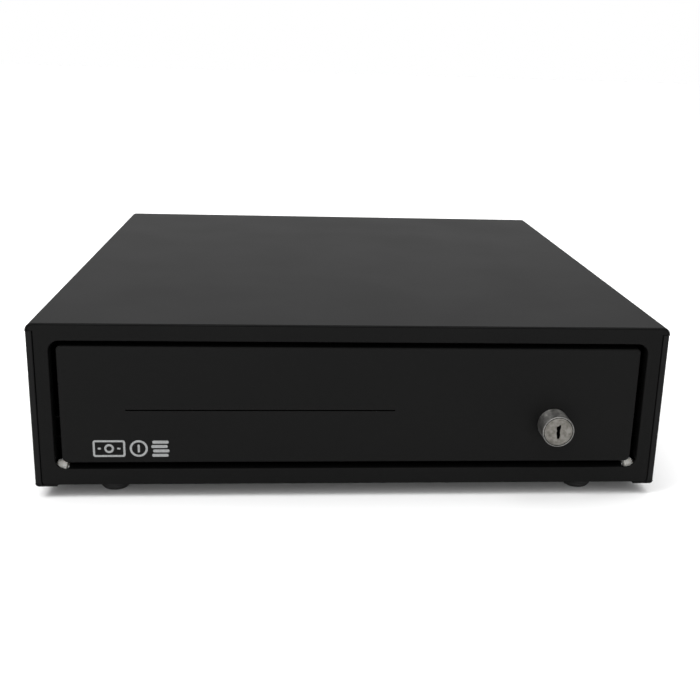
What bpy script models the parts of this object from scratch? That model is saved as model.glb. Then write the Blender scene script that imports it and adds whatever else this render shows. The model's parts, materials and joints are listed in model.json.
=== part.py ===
"""Cash drawer: a steel cabinet with a roller drawer, a lock, a solenoid latch and a till insert.

Blender builds in metres with Z up. Dimensions below are in millimetres and go through MM.
The front faces -Y. The feet stand on z = 0. Pieces that move have their origin on their axis.
"""

import math

import bmesh
import bpy
from mathutils import Matrix, Vector

MM = 0.001

# ---- cabinet (mm) ----
HALF_W = 205.0                # half the width over the cover
FRONT, BACK = -200.0, 215.0   # front plane of cover, frame and drawer; back of the cover
FOOT = 8.0                    # underside of the cover above the floor
TOP = 118.0
SHEET = 1.0                   # thickness of the sheet metal
GAP = 0.3                     # between pieces that lie together

COVER_LIP = 191.0             # inner edges of the cover's bottom flanges
HEM_HALF = HALF_W - 3.5       # inner faces of the hems down the cover's front edges
HEM_LOW, HEM_HIGH = FOOT + 0.5, 112.6
HEM_DEPTH = 12.0

PLATE_LOW, PLATE_HIGH = FOOT + SHEET + GAP, TOP - SHEET - GAP
PLATE_HALF = 200.9            # frame plate between the hems
EAR_HALF = 203.6              # frame plate above the hems
OPEN_HALF, OPEN_LOW, OPEN_HIGH, OPEN_R = 191.7, 20.0, 106.5, 7.0
LIP_DEPTH = 8.0               # the opening's edge, rolled back
NOTCH_X, NOTCH_Z = (183.8, 193.4), (13.0, 25.7)     # room in that lip for the front rollers
FLANGE = 1.2
FLANGE_LOW, FLANGE_HIGH = 11.0, 114.7               # undersides of the flanges on the panels
FLANGE_DEPTH = 14.0

BASE_HALF, BASE_WALL = 201.1, 60.0
REAR_HALF = 203.3
SOCKET_X, SOCKET_Z = -60.0, 30.0
SCREW_X, SCREW_Y = 196.5, (-140.0, 150.0)
FOOT_X, FOOT_Y = 157.0, (-181.0, 190.0)

# ---- drawer ----
PANEL_HALF, PANEL_LOW, PANEL_HIGH, PANEL_DEPTH = 187.2, 24.3, 103.0, 13.0
SLOT_X, SLOT_Z, SLOT_HIGH = (-146.0, 27.0), 60.5, 0.8
TRAY_HALF, TRAY_LOW, TRAY_HIGH = 182.6, 26.3, 78.0
TRAY_FRONT, TRAY_BACK = -198.4, 162.0

# ---- rails and rollers ----
FRONT_ROLLER = (188.6, -190.5, 17.2, 5.5)     # x, y, z, radius
REAR_ROLLER = (194.5, 150.0, 40.0, 6.0)
AXLE_HOLE = 2.5
RAIL_LIP, RAIL_WEB = 190.8, 199.6             # mouth and outer face of the C channel
RAIL_FRONT, RAIL_BACK = -176.0, 178.0
CHANNEL = REAR_ROLLER[3] + 0.4                # half the clear height of the channel
RUNNER_WALL, RUNNER_TIP = 184.2, 188.8
RUNNER_FRONT, RUNNER_BACK = -186.6, 160.0
RUNNER_LOW = FRONT_ROLLER[2] + FRONT_ROLLER[3] + GAP

# ---- lock, release bar and striker ----
LOCK_X, LOCK_Z = 132.2, 51.5
LOCK_HOLE = 9.7
BAR_Y, BAR_Z = -12.0, 27.8
BAR_FRONT, BAR_BACK = -176.0, 180.0
STRIKER_X, STRIKER_Y = 110.0, 173.0

# ---- till insert, coin tray and clips ----
WALL = 2.2
INSERT_HALF, INSERT_LOW, INSERT_HIGH = 176.0, 44.7, 100.0
INSERT_FRONT, INSERT_BACK = -158.0, 156.0
INSERT_FLOOR = INSERT_LOW + WALL
NOTE_FRONT, NOTE_BACK = -8.0, 153.8
COMPARTMENTS = 4
COIN_FRONT, COIN_BACK = -155.4, -10.6
COIN_DECK, COIN_DIVIDE, COIN_R = 96.0, 82.0, 26.0
CLIP_Y, CLIP_Z = 141.0, 90.0
CLIP_HALF = 14.0

# ---- latch and solenoid ----
SHELF = 33.6                  # top of the latch bracket
LATCH_X, LATCH_Y = 118.0, 195.0
LATCH_REST = -22.0            # degrees from engaged to released
COIL_X = (138.0, 178.0)
COIL_Y, COIL_Z = LATCH_Y + 10.9, 45.6
PLUNGER_PIN = 120.1

# ---- scene, collections, materials ----
for old in list(bpy.data.objects):
    bpy.data.objects.remove(old, do_unlink=True)

PARTS = bpy.data.collections.new("cash_drawer")
CUTTERS = bpy.data.collections.new("cutters")
for group in (PARTS, CUTTERS):
    bpy.context.scene.collection.children.link(group)

FINISHES = {
    # name: colour, metallic, roughness
    "painted_shell": ((0.055, 0.054, 0.053), 0.0, 0.55),
    "painted_front": ((0.018, 0.018, 0.019), 0.0, 0.45),
    "zinc_sheet": ((0.50, 0.51, 0.52), 1.0, 0.42),
    "zinc_small": ((0.62, 0.62, 0.60), 1.0, 0.35),
    "nickel_lock": ((0.55, 0.53, 0.50), 1.0, 0.25),
    "steel": ((0.42, 0.42, 0.43), 1.0, 0.35),
    "spring_steel": ((0.36, 0.36, 0.37), 1.0, 0.30),
    "roller_nylon": ((0.78, 0.77, 0.73), 0.0, 0.40),
    "rubber": ((0.015, 0.015, 0.015), 0.0, 0.85),
    "lead_sleeve": ((0.020, 0.020, 0.020), 0.0, 0.50),
    "till_plastic": ((0.030, 0.030, 0.032), 0.0, 0.50),
    "clip_plastic": ((0.025, 0.025, 0.027), 0.0, 0.40),
    "coil_tape": ((0.35, 0.20, 0.05), 0.0, 0.45),
    "switch_plastic": ((0.05, 0.05, 0.06), 0.0, 0.45),
}


def principled(name, colour, metallic, roughness):
    mat = bpy.data.materials.new(name)
    mat.use_nodes = True
    shader = mat.node_tree.nodes["Principled BSDF"]
    shader.inputs["Base Color"].default_value = (*colour, 1.0)
    shader.inputs["Metallic"].default_value = metallic
    shader.inputs["Roughness"].default_value = roughness
    return mat


MATS = {name: principled(name, *values) for name, values in FINISHES.items()}


# ---- outlines ----
def fillet(points, radii, steps=5, closed=True):
    """Points of a polygon or path whose corners are rounded."""
    out = []
    count = len(points)
    radii = list(radii) if hasattr(radii, "__len__") else [radii] * count
    for i, here in enumerate(points):
        corner = Vector(here)
        if radii[i] <= 0 or (not closed and i in (0, count - 1)):
            out.append(tuple(corner))
            continue
        a = (Vector(points[i - 1]) - corner).normalized()
        b = (Vector(points[(i + 1) % count]) - corner).normalized()
        half = math.acos(max(-1.0, min(1.0, a.dot(b)))) / 2
        reach = radii[i] / math.tan(half)
        centre = corner + (a + b).normalized() * radii[i] / math.sin(half)
        v0 = corner + a * reach - centre
        v1 = corner + b * reach - centre
        turn = math.atan2(v0.x * v1.y - v0.y * v1.x, v0.dot(v1))
        for k in range(steps + 1):
            c, s = math.cos(turn * k / steps), math.sin(turn * k / steps)
            out.append((centre.x + v0.x * c - v0.y * s, centre.y + v0.x * s + v0.y * c))
    return out


def box_outline(u0, u1, v0, v1, radii=0.0, steps=5):
    return fillet([(u0, v0), (u1, v0), (u1, v1), (u0, v1)], radii, steps)


def disc(u, v, r, segments=20):
    turn = 2 * math.pi / segments
    return [(u + r * math.cos(turn * k), v + r * math.sin(turn * k)) for k in range(segments)]


def bent_sheet(path, radii, side=1.0, thick=SHEET, steps=5):
    """Closed outline of a bent sheet. The path is one face; the other lies thick away from it,
    on its left for side 1 and on its right for side -1."""
    face = [Vector(p) for p in fillet(path, radii, steps, closed=False)]
    other = []
    for i, p in enumerate(face):
        ways = [(p - face[i - 1]).normalized()] if i > 0 else []
        ways += [(face[i + 1] - p).normalized()] if i < len(face) - 1 else []
        normals = [Vector((-w.y, w.x)) * side for w in ways]
        if len(normals) == 2:
            other.append(p + (normals[0] + normals[1]) * thick / (1 + normals[0].dot(normals[1])))
        else:
            other.append(p + normals[0] * thick)
    return [tuple(p) for p in face] + [tuple(p) for p in reversed(other)]


def on_side(side, a, b):
    """The span from a to b on the left (side -1) or on the right (side 1), lowest first."""
    return sorted((side * a, side * b))


# ---- solids ----
AXES = {
    "Z": Matrix.Identity(4),
    "Y": Matrix(((1, 0, 0, 0), (0, 0, -1, 0), (0, 1, 0, 0), (0, 0, 0, 1))),
    "X": Matrix(((0, 0, 1, 0), (1, 0, 0, 0), (0, 1, 0, 0), (0, 0, 0, 1))),
}
TURNS = {
    "Z": Matrix.Identity(4),
    "Y": Matrix.Rotation(math.radians(90), 4, "X"),
    "X": Matrix.Rotation(math.radians(90), 4, "Y"),
}
SAME_POINT = 0.000002         # metres


def add(name, mesh, mat, at=(0, 0, 0), smooth=False, group=PARTS):
    obj = bpy.data.objects.new(name, mesh)
    group.objects.link(obj)
    obj.location = Vector(at) * MM
    mesh.materials.clear()
    mesh.materials.append(mat)
    for poly in mesh.polygons:
        poly.use_smooth = smooth
    return obj


def baked(holder):
    """The mesh that an object shows, welded and with its normals outwards."""
    bpy.context.view_layer.update()
    graph = bpy.context.evaluated_depsgraph_get()
    mesh = bpy.data.meshes.new_from_object(holder.evaluated_get(graph))
    bpy.data.objects.remove(holder, do_unlink=True)
    bm = bmesh.new()
    bm.from_mesh(mesh)
    bmesh.ops.remove_doubles(bm, verts=bm.verts, dist=SAME_POINT)
    bmesh.ops.recalc_face_normals(bm, faces=bm.faces)
    bm.to_mesh(mesh)
    bm.free()
    return mesh


def held(name, data):
    holder = bpy.data.objects.new(name, data)
    bpy.context.scene.collection.objects.link(holder)
    return holder


def extruded(outlines, along, start, stop):
    """Filled outlines pushed along an axis from start to stop. Inner outlines are holes.
    Outline axes: (x, y) for Z, (x, z) for Y and (y, z) for X."""
    if isinstance(outlines[0][0], (int, float)):
        outlines = [outlines]
    curve = bpy.data.curves.new("outline", "CURVE")
    curve.dimensions = "2D"
    curve.fill_mode = "BOTH"
    curve.extrude = abs(stop - start) / 2 * MM
    for outline in outlines:
        spline = curve.splines.new("POLY")
        spline.points.add(len(outline) - 1)
        for point, (u, v) in zip(spline.points, outline):
            point.co = (u * MM, v * MM, 0, 1)
        spline.use_cyclic_u = True
    mesh = baked(held("outline", curve))
    middle = (start + stop) / 2 * MM
    shift = {"Z": (0, 0, middle), "Y": (0, middle, 0), "X": (middle, 0, 0)}[along]
    mesh.transform(Matrix.Translation(shift) @ AXES[along])
    return mesh


def solid(name, mat, outlines, along, start, stop, at=(0, 0, 0)):
    """A named piece made by pushing outlines along an axis."""
    return add(name, extruded(outlines, along, start, stop), MATS[mat], at)


def shaped(obj, outlines, along, start, stop, operation):
    """Cuts or joins an extrusion that is given in the piece's own frame."""
    mesh = extruded(outlines, along, start, stop)
    tool = add(obj.name + "_tool", mesh, obj.data.materials[0], group=CUTTERS)
    tool.location = obj.location
    tool.hide_render = True
    tool.display_type = "WIRE"
    step = obj.modifiers.new("Boolean", "BOOLEAN")
    step.operation = operation
    step.solver = "EXACT"
    step.object = tool


def cut(obj, outlines, along, start, stop):
    shaped(obj, outlines, along, start, stop, "DIFFERENCE")


def join(obj, outlines, along, start, stop):
    shaped(obj, outlines, along, start, stop, "UNION")


def turned(name, mat, profile, along, at, segments=20):
    """A round piece: profile holds (radius, height) from the outer top down, closed through the
    bore or the axis. Height runs up along Z, towards -Y for Y and along +X for X."""
    count = len(profile)
    edges = [(i, i + 1) for i in range(count - 1)]
    if profile[0][0] > 0 and profile[-1][0] > 0:
        edges.append((count - 1, 0))
    path = bpy.data.meshes.new("profile")
    path.from_pydata([(r * MM, 0, h * MM) for r, h in profile], edges, [])
    holder = held("profile", path)
    screw = holder.modifiers.new("Screw", "SCREW")
    screw.steps = segments
    screw.render_steps = segments
    screw.use_merge_vertices = True
    screw.merge_threshold = 0.00001
    screw.use_normal_calculate = True
    mesh = baked(holder)
    mesh.transform(TURNS[along])
    obj = add(name, mesh, MATS[mat], at)
    for poly in mesh.polygons:
        poly.use_smooth = len(poly.vertices) <= 4
    return obj


def repeated(first, names, places):
    """Copies of the first piece, one for each further name and place."""
    for name, at in zip(names[1:], places[1:]):
        twin = first.copy()
        twin.name = name
        twin.location = Vector(at) * MM
        PARTS.objects.link(twin)


def handed(profile, side, middle):
    """A turned profile that runs along X, for the left (side -1) or the right (side 1).
    Its heights are distances from the centre plane and come out measured from the middle."""
    moved = [(r, side * (h - middle)) for r, h in profile]
    return moved if side > 0 else moved[::-1]


def wire(name, mat, points, radius, at=(0, 0, 0), sides=0):
    """A wire or spring: a bevelled curve with capped ends."""
    curve = bpy.data.curves.new(name, "CURVE")
    curve.dimensions = "3D"
    curve.bevel_depth = radius * MM
    curve.bevel_resolution = sides
    curve.use_fill_caps = True
    spline = curve.splines.new("POLY")
    spline.points.add(len(points) - 1)
    for point, (x, y, z) in zip(spline.points, points):
        point.co = (x * MM, y * MM, z * MM, 1)
    return add(name, baked(held("wire", curve)), MATS[mat], at, smooth=True)


def coil(radius, start, stop, turns, along, steps):
    """Points of a helix whose axis runs along X or Y through the origin."""
    points = []
    total = int(turns * steps)
    for k in range(total + 1):
        share = k / total
        ang = 2 * math.pi * turns * share
        run = start + (stop - start) * share
        c, s = radius * math.cos(ang), radius * math.sin(ang)
        points.append((run, c, s) if along == "X" else (c, run, s))
    return points


def smooth_path(stops, steps):
    """Points of a smooth curve through the stops."""
    pts = [Vector(p) for p in stops]
    pts = [pts[0] * 2 - pts[1]] + pts + [pts[-1] * 2 - pts[-2]]
    out = []
    for i in range(1, len(pts) - 2):
        a, b, c, d = pts[i - 1:i + 3]
        for k in range(steps):
            t = k / steps
            ease = (c - a) * min(1.0, (c - b).length / max((c - a).length, 0.01)) * 0.5
            lead = (d - b) * min(1.0, (c - b).length / max((d - b).length, 0.01)) * 0.5
            h1, h2 = 2 * t ** 3 - 3 * t ** 2 + 1, -2 * t ** 3 + 3 * t ** 2
            h3, h4 = t ** 3 - 2 * t ** 2 + t, t ** 3 - t ** 2
            out.append(tuple(b * h1 + c * h2 + ease * h3 + lead * h4))
    out.append(tuple(pts[-2]))
    return out


# ---- cabinet ----
def build_cover():
    """One sheet over the top, down both sides and in under the base, hemmed at the front."""
    path = [(-COVER_LIP, FOOT), (-HALF_W, FOOT), (-HALF_W, TOP), (HALF_W, TOP), (HALF_W, FOOT),
            (COVER_LIP, FOOT)]
    cover = solid("top_cover", "painted_shell",
                  bent_sheet(path, [0, 2.6, 5.0, 5.0, 2.6, 0], side=-1.0), "Y", FRONT, BACK)
    for side in (-1, 1):
        u0, u1 = on_side(side, HEM_HALF, HALF_W - 0.7)
        join(cover, box_outline(u0, u1, HEM_LOW, HEM_HIGH), "Y", FRONT + 0.05, FRONT + HEM_DEPTH)
    return cover


def build_frame():
    """The plate round the drawer, with the opening's lip and two stiffening flanges."""
    ledge = HEM_HIGH + GAP
    outer = fillet([(-PLATE_HALF, PLATE_LOW), (PLATE_HALF, PLATE_LOW), (PLATE_HALF, ledge - 0.1),
                    (EAR_HALF, ledge), (EAR_HALF, PLATE_HIGH), (-EAR_HALF, PLATE_HIGH),
                    (-EAR_HALF, ledge), (-PLATE_HALF, ledge - 0.1)], [2, 2, 0, 0, 3.6, 3.6, 0, 0])
    opening = box_outline(-OPEN_HALF, OPEN_HALF, OPEN_LOW, OPEN_HIGH, OPEN_R)
    frame = solid("front_frame", "painted_shell", [outer, opening], "Y", FRONT, FRONT + LIP_DEPTH)
    lip = box_outline(-OPEN_HALF - SHEET, OPEN_HALF + SHEET, OPEN_LOW - SHEET,
                      OPEN_HIGH + SHEET, OPEN_R + SHEET)
    beyond = box_outline(-HALF_W - 5, HALF_W + 5, 0, TOP + 7)
    cut(frame, [beyond, lip], "Y", FRONT + SHEET, FRONT + 20)
    for side in (-1, 1):
        cut(frame, box_outline(*on_side(side, *NOTCH_X), *NOTCH_Z), "Y", FRONT + 1.2, FRONT + 20)
    for half, low in ((170, FLANGE_LOW), (185, FLANGE_HIGH)):
        join(frame, box_outline(-half, half, low, low + FLANGE), "Y", FRONT + 0.6,
             FRONT + FLANGE_DEPTH)


def build_base():
    pan = [(-BASE_HALF, BASE_WALL), (-BASE_HALF, PLATE_LOW), (BASE_HALF, PLATE_LOW),
           (BASE_HALF, BASE_WALL)]
    return solid("base_plate", "painted_shell", bent_sheet(pan, [0, 2, 2, 0], steps=3), "Y",
                 FRONT + 1.6, BACK - 1.6)


def build_rear():
    panel = box_outline(-REAR_HALF, REAR_HALF, PLATE_LOW, PLATE_HIGH, [2.6, 2.6, 4, 4], 3)
    mouth = box_outline(SOCKET_X - 7.9, SOCKET_X + 7.9, SOCKET_Z - 7.5, SOCKET_Z + 7.5)
    rear = solid("rear_panel", "painted_shell", [panel, mouth], "Y", BACK - 1.2, BACK)
    for low in (FLANGE_LOW, FLANGE_HIGH):
        join(rear, box_outline(-180, 180, low, low + FLANGE), "Y", BACK - FLANGE_DEPTH, BACK - 0.6)


def build_screws(cover, base):
    """Four screws through the cover's bottom flanges into the base."""
    names = [f"cover_screw_{k}" for k in range(1, 5)]
    places = [(x, y, 0) for y in SCREW_Y for x in (-SCREW_X, SCREW_X)]
    between = PLATE_LOW - GAP / 2
    for x, y, _ in places:
        cut(cover, disc(x, y, 1.9, 12), "Z", FOOT - 3, between)
        cut(base, disc(x, y, 1.9, 12), "Z", between, PLATE_LOW + 3)
    profile = [(0, 12.6), (1.5, 12.6), (1.5, 7.7), (3.0, 7.7), (2.6, 6.2), (0, 6.0)]
    first = turned(names[0], "zinc_small", profile, "Z", places[0], 12)
    repeated(first, names, places)


def build_feet(base):
    """Four rubber feet, each pushed through a hole in the base with a barbed stem."""
    names = ["foot_front_left", "foot_front_right", "foot_rear_left", "foot_rear_right"]
    places = [(x, y, 0) for y in FOOT_Y for x in (-FOOT_X, FOOT_X)]
    for x, y, _ in places:
        cut(base, disc(x, y, 3.2, 16), "Z", PLATE_LOW - GAP / 2, PLATE_LOW + 3)
    seat = PLATE_LOW - GAP
    profile = [(0, 13.4), (2.4, 13.4), (3.6, 11.0), (2.8, 11.0), (2.8, seat), (9.2, seat),
               (9.9, 5.6), (9.7, 2.2), (8.4, 0.5), (6.8, 0.0), (0, 0.0)]
    first = turned(names[0], "rubber", profile, "Z", places[0], 20)
    repeated(first, names, places)


# ---- rails, stops and rollers ----
def build_rail(side, label):
    """A C channel for the drawer's rear roller, with a front leg that holds the front axle."""
    _, front_y, front_z, _ = FRONT_ROLLER
    mid = REAR_ROLLER[2]
    top, bottom = mid + CHANNEL, mid - CHANNEL
    path = [(RAIL_LIP, top - 2.0), (RAIL_LIP, top + SHEET), (RAIL_WEB, top + SHEET),
            (RAIL_WEB, bottom - SHEET), (RAIL_LIP, bottom - SHEET), (RAIL_LIP, bottom + 2.0)]
    section = bent_sheet(path, [0, 1.4, 1.6, 1.6, 1.4, 0], side=-1.0, steps=3)
    rail = solid(f"{label}_rail", "zinc_sheet", [(side * u, v) for u, v in section], "Y",
                 RAIL_FRONT, RAIL_BACK)
    leg = box_outline(front_y - 5.0, RAIL_FRONT + 16.0, 12.0, mid - 4.0, [2, 2, 0, 0], 3)
    join(rail, leg, "X", *on_side(side, RAIL_WEB - SHEET + 0.05, RAIL_WEB))
    cut(rail, disc(front_y, front_z, AXLE_HOLE, 12), "X", side * 205, side * 195)
    stop = box_outline(*on_side(side, 192.3, 198.1), bottom + GAP, top - GAP)
    solid(f"{label}_rail_stop", "rubber", stop, "Y", RAIL_FRONT + 18.0, RAIL_FRONT + 29.0)


def build_front_roller(side, label):
    """The cabinet's roller, on an axle that is fixed in the rail's front leg."""
    x, y, z, r = FRONT_ROLLER
    middle = 190.0
    profile = [(0, RAIL_WEB), (2.1, RAIL_WEB), (2.1, 198.1), (4.0, 198.1), (4.0, 192.0),
               (2.1, 192.0), (2.1, 185.2), (3.4, 185.2), (3.4, 184.2), (0, 184.2)]
    turned(f"{label}_front_axle", "zinc_small", handed(profile, side, middle), "X",
           (side * middle, y, z), 14)
    ring = [(AXLE_HOLE, 3.1), (4.9, 3.1), (r, 2.5), (r, -2.5), (4.9, -3.1), (AXLE_HOLE, -3.1)]
    turned(f"{label}_front_roller", "roller_nylon", ring, "X", (side * x, y, z), 20)


def build_runner(side, label):
    """The drawer's runner rolls on the front roller; a tongue carries it past the roller."""
    front_y = FRONT_ROLLER[1]
    _, rear_y, rear_z, _ = REAR_ROLLER
    path = [(side * (RUNNER_WALL - SHEET), rear_z + 8.0),
            (side * (RUNNER_WALL - SHEET), RUNNER_LOW), (side * RUNNER_TIP, RUNNER_LOW)]
    section = bent_sheet(path, [0, 1.6, 0], side=float(side), steps=3)
    runner = solid(f"{label}_runner", "zinc_sheet", section, "Y", RUNNER_FRONT, RUNNER_BACK)
    tongue = box_outline(*on_side(side, RUNNER_WALL, RUNNER_TIP), RUNNER_LOW + 0.02,
                         RUNNER_LOW + SHEET - 0.02)
    join(runner, tongue, "Y", front_y - 1.5, front_y + 8.0)
    cut(runner, disc(rear_y, rear_z, AXLE_HOLE, 12), "X", side * 180, side * 187)


def build_rear_roller(side, label):
    """The drawer's own roller, on an axle that is riveted to the runner."""
    x, y, z, r = REAR_ROLLER
    middle = 190.0
    profile = [(0, 198.0), (3.5, 198.0), (3.5, 196.9), (2.0, 196.9), (2.0, 192.0),
               (4.0, 192.0), (4.0, 184.6), (2.0, 184.6), (2.0, 183.1), (0, 183.1)]
    turned(f"{label}_rear_axle", "zinc_small", handed(profile, side, middle), "X",
           (side * middle, y, z), 14)
    ring = [(2.4, 2.1), (5.4, 2.1), (r, 1.6), (r, -1.6), (5.4, -2.1), (2.4, -2.1)]
    turned(f"{label}_rear_roller", "roller_nylon", ring, "X", (side * x, y, z), 20)


# ---- drawer ----
def build_drawer_front():
    front = solid("drawer_front", "painted_front",
                  box_outline(-PANEL_HALF, PANEL_HALF, PANEL_LOW, PANEL_HIGH, [4, 4, 2.5, 2.5]),
                  "Y", FRONT, FRONT + PANEL_DEPTH)
    inside = box_outline(-PANEL_HALF + SHEET, PANEL_HALF - SHEET, PANEL_LOW + SHEET,
                         PANEL_HIGH - SHEET, [2.8, 2.8, 1.5, 1.5])
    cut(front, inside, "Y", FRONT + SHEET, FRONT + 20)
    slot = box_outline(*SLOT_X, SLOT_Z - SLOT_HIGH / 2, SLOT_Z + SLOT_HIGH / 2, 0.35, 3)
    cut(front, slot, "Y", FRONT - 2, FRONT + 3)
    cut(front, disc(LOCK_X, LOCK_Z, LOCK_HOLE, 24), "Y", FRONT - 2, FRONT + 3)


def build_tray():
    """The open steel box behind the front, with four ledges that carry the insert."""
    tray = solid("drawer_tray", "zinc_sheet",
                 box_outline(-TRAY_HALF, TRAY_HALF, TRAY_FRONT, TRAY_BACK), "Z", TRAY_LOW,
                 TRAY_HIGH)
    inside = box_outline(-TRAY_HALF + SHEET, TRAY_HALF - SHEET, TRAY_FRONT + SHEET,
                         TRAY_BACK - SHEET)
    cut(tray, inside, "Z", TRAY_LOW + SHEET, TRAY_HIGH + 9)
    through_front = ("Y", TRAY_FRONT - 3, TRAY_FRONT + 3)
    through_floor = ("Z", TRAY_LOW - 3, TRAY_LOW + 3)
    through_back = ("Y", TRAY_BACK - 3, TRAY_BACK + 3)
    cut(tray, box_outline(SLOT_X[0] - 2, SLOT_X[1] + 2, SLOT_Z - 2, SLOT_Z + 2), *through_front)
    cut(tray, disc(LOCK_X, LOCK_Z, LOCK_HOLE, 24), *through_front)
    # the cam's tongue swings down through the first hole, the rivet sits in the second
    cut(tray, box_outline(124.0, 162.0, -183.2, -176.8), *through_floor)
    cut(tray, disc(LOCK_X, BAR_Y, 2.9, 16), *through_floor)
    # the release bar leaves here and swings from side to side
    cut(tray, box_outline(113.0, 151.0, BAR_Z - 0.4, BAR_Z + 3.0), *through_back)
    for side in (-1, 1):
        for y in (-125.0, 95.0):
            ledge = box_outline(*on_side(side, 171.0, TRAY_HALF - 0.6), y, y + 30)
            join(tray, ledge, "Z", INSERT_LOW - 1.5, INSERT_LOW - GAP)


def build_striker():
    """An arm on the tray's back wall with a pin that points down."""
    plate, neck, tip = TRAY_BACK + 0.3, TRAY_BACK + 1, STRIKER_Y + 6
    striker = solid("striker", "steel",
                    box_outline(STRIKER_X - 8, STRIKER_X + 8, 49.0, 66.0, 2, 3), "Y", plate,
                    plate + 2.0)
    arm = [(STRIKER_X - 7, neck), (STRIKER_X + 7, neck), (STRIKER_X + 7, tip - 5),
           (STRIKER_X + 3, tip), (STRIKER_X - 3, tip), (STRIKER_X - 7, tip - 5)]
    join(striker, arm, "Z", 50.2, 52.2)
    join(striker, disc(STRIKER_X, STRIKER_Y, 2.5, 16), "Z", 42.6, 51.2)


# ---- lock ----
def build_lock():
    """Barrel, nut, plug and cam. Heights run towards the viewer, from the front plane."""
    at = (LOCK_X, FRONT, LOCK_Z)
    body = [(9.65, 15.0), (9.95, 15.0), (10.45, 14.4), (10.45, 0.3), (9.2, 0.3), (9.2, -18.0),
            (6.4, -18.0), (6.4, 10.8), (9.65, 10.8)]
    turned("lock_body", "nickel_lock", body, "Y", at, 32)
    solid("lock_nut", "zinc_small",
          [disc(LOCK_X, LOCK_Z, 12.6, 6), disc(LOCK_X, LOCK_Z, 9.6, 24)], "Y", FRONT + 3.1,
          FRONT + 7.4)

    profile = [(0, 15.0), (8.9, 15.0), (9.35, 14.6), (9.35, 11.1), (6.1, 11.1), (6.1, -18.7),
               (3.0, -18.7), (3.0, -19.6), (0, -19.6)]
    plug = turned("lock_plug", "nickel_lock", profile, "Y", at, 32)
    cut(plug, box_outline(-1.1, 1.1, -4.2, 4.2, 0.9, 3), "Y", -16.0, -2.0)

    # a long tongue for the keeper and a pin for the release bar
    outline = fillet([(-5, 5), (-5, -5), (-4, -13), (4, -13), (5, -5), (34.5, -4.5),
                      (34.5, 4.5), (5, 5)], [3, 1, 3, 3, 1, 2, 2, 1], 3)
    cam = solid("lock_cam", "zinc_small", outline, "Y", 19.9, 22.0, at)
    join(cam, disc(0, -10.0, 2.0, 12), "Y", 20.8, 28.5)

    keeper = bent_sheet([(-170.0, 11.0), (-184.8, 11.0), (-184.8, 23.0)], [0, 2.2, 0],
                        side=-1.0, thick=1.6, steps=3)
    solid("lock_keeper", "steel", keeper, "X", LOCK_X - 8.2, LOCK_X + 8.8)


def build_release_bar():
    """A flat bar that swings on a rivet: the cam pushes its fork, its rear tab pushes the latch."""
    at = (LOCK_X, BAR_Y, BAR_Z)
    front, back = BAR_FRONT - BAR_Y, BAR_BACK - BAR_Y
    bar = solid("release_bar", "steel",
                [box_outline(-6, 6, front, back, 2.5, 3), disc(0, 0, 2.9, 16)], "Z", 0, 2.0, at)
    fork = [(-10.5, 0.4), (10.5, 0.4), (10.5, 28), (4.7, 28), (4.7, 9.0), (-4.7, 9.0),
            (-4.7, 28), (-10.5, 28)]
    join(bar, fork, "Y", front - 0.1, front + 1.5)
    join(bar, box_outline(back - 10.0, back - 1.5, 0.4, 20.0, [0, 0, 2, 2], 3), "X", -0.6, 1.2)
    rivet = [(0, 30.9), (3.4, 30.9), (4.6, 30.1), (2.5, 30.1), (2.5, 26.0), (4.4, 26.0),
             (3.2, 25.2), (0, 25.2)]
    turned("bar_rivet", "zinc_small", rivet, "Z", (LOCK_X, BAR_Y, 0), 16)


# ---- till insert, coin tray and note clips ----
def build_insert():
    """The insert, with the coin tray's well and the note compartments. Returns their centres."""
    half, high, over = INSERT_HALF, INSERT_HIGH, INSERT_HIGH + 9
    insert = solid("till_insert", "till_plastic",
                   box_outline(-half, half, INSERT_FRONT, INSERT_BACK, 6, 3), "Z", INSERT_LOW,
                   high)
    rim = box_outline(-half - 3.4, half + 3.4, INSERT_FRONT - 3.4, INSERT_BACK + 2.4, 8, 3)
    inside = box_outline(-half + 1, half - 1, INSERT_FRONT + 1, INSERT_BACK - 1, 5, 3)
    join(insert, [rim, inside], "Z", high - 2.6, high - 0.05)
    inner = half - WALL
    well = box_outline(-inner, inner, INSERT_FRONT + WALL, NOTE_FRONT - WALL, 0.8, 2)
    cut(insert, well, "Z", INSERT_FLOOR, over)
    width = (2 * inner - (COMPARTMENTS - 1) * WALL) / COMPARTMENTS
    centres = []
    for k in range(COMPARTMENTS):
        u0 = -inner + k * (width + WALL)
        centres.append(u0 + width / 2)
        cut(insert, box_outline(u0, u0 + width, NOTE_FRONT, NOTE_BACK, 4, 3), "Z", INSERT_FLOOR,
            over)
    cut(insert, disc(CLIP_Y, CLIP_Z, 3.0, 14), "X", -half - 9, half + 9)
    return centres


def build_coin_tray():
    """Two rows of four scooped cups, hung from a deck."""
    half = INSERT_HALF - WALL - 0.5
    mid, bottom = (COIN_FRONT + COIN_BACK) / 2, INSERT_FLOOR + 0.4
    rows = ((COIN_FRONT, mid - 1.0), (mid + 1.0, COIN_BACK))
    (y0, y1), (y2, y3) = rows
    outline = fillet([(y0, COIN_DECK), (y0, bottom), (y1, bottom), (y1, COIN_DIVIDE),
                      (y2, COIN_DIVIDE), (y2, bottom), (y3, bottom), (y3, COIN_DECK)],
                     [0, COIN_R, COIN_R, 0, 0, COIN_R, COIN_R, 0], 6)
    coin = solid("coin_tray", "till_plastic", outline, "X", -half, half)
    pitch = 2 * half / COMPARTMENTS
    skin, end_wall, divider = 2.0, 2.4, 1.2
    for front, back in rows:
        y0, y1, over = front + skin, back - skin, COIN_DECK + 9
        cup = fillet([(y0, over), (y0, bottom + skin), (y1, bottom + skin), (y1, over)],
                     [0, COIN_R - skin, COIN_R - skin, 0], 6)
        for k in range(COMPARTMENTS):
            first = end_wall if k == 0 else divider
            last = end_wall if k == COMPARTMENTS - 1 else divider
            cut(coin, cup, "X", -half + k * pitch + first, -half + (k + 1) * pitch - last)


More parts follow.
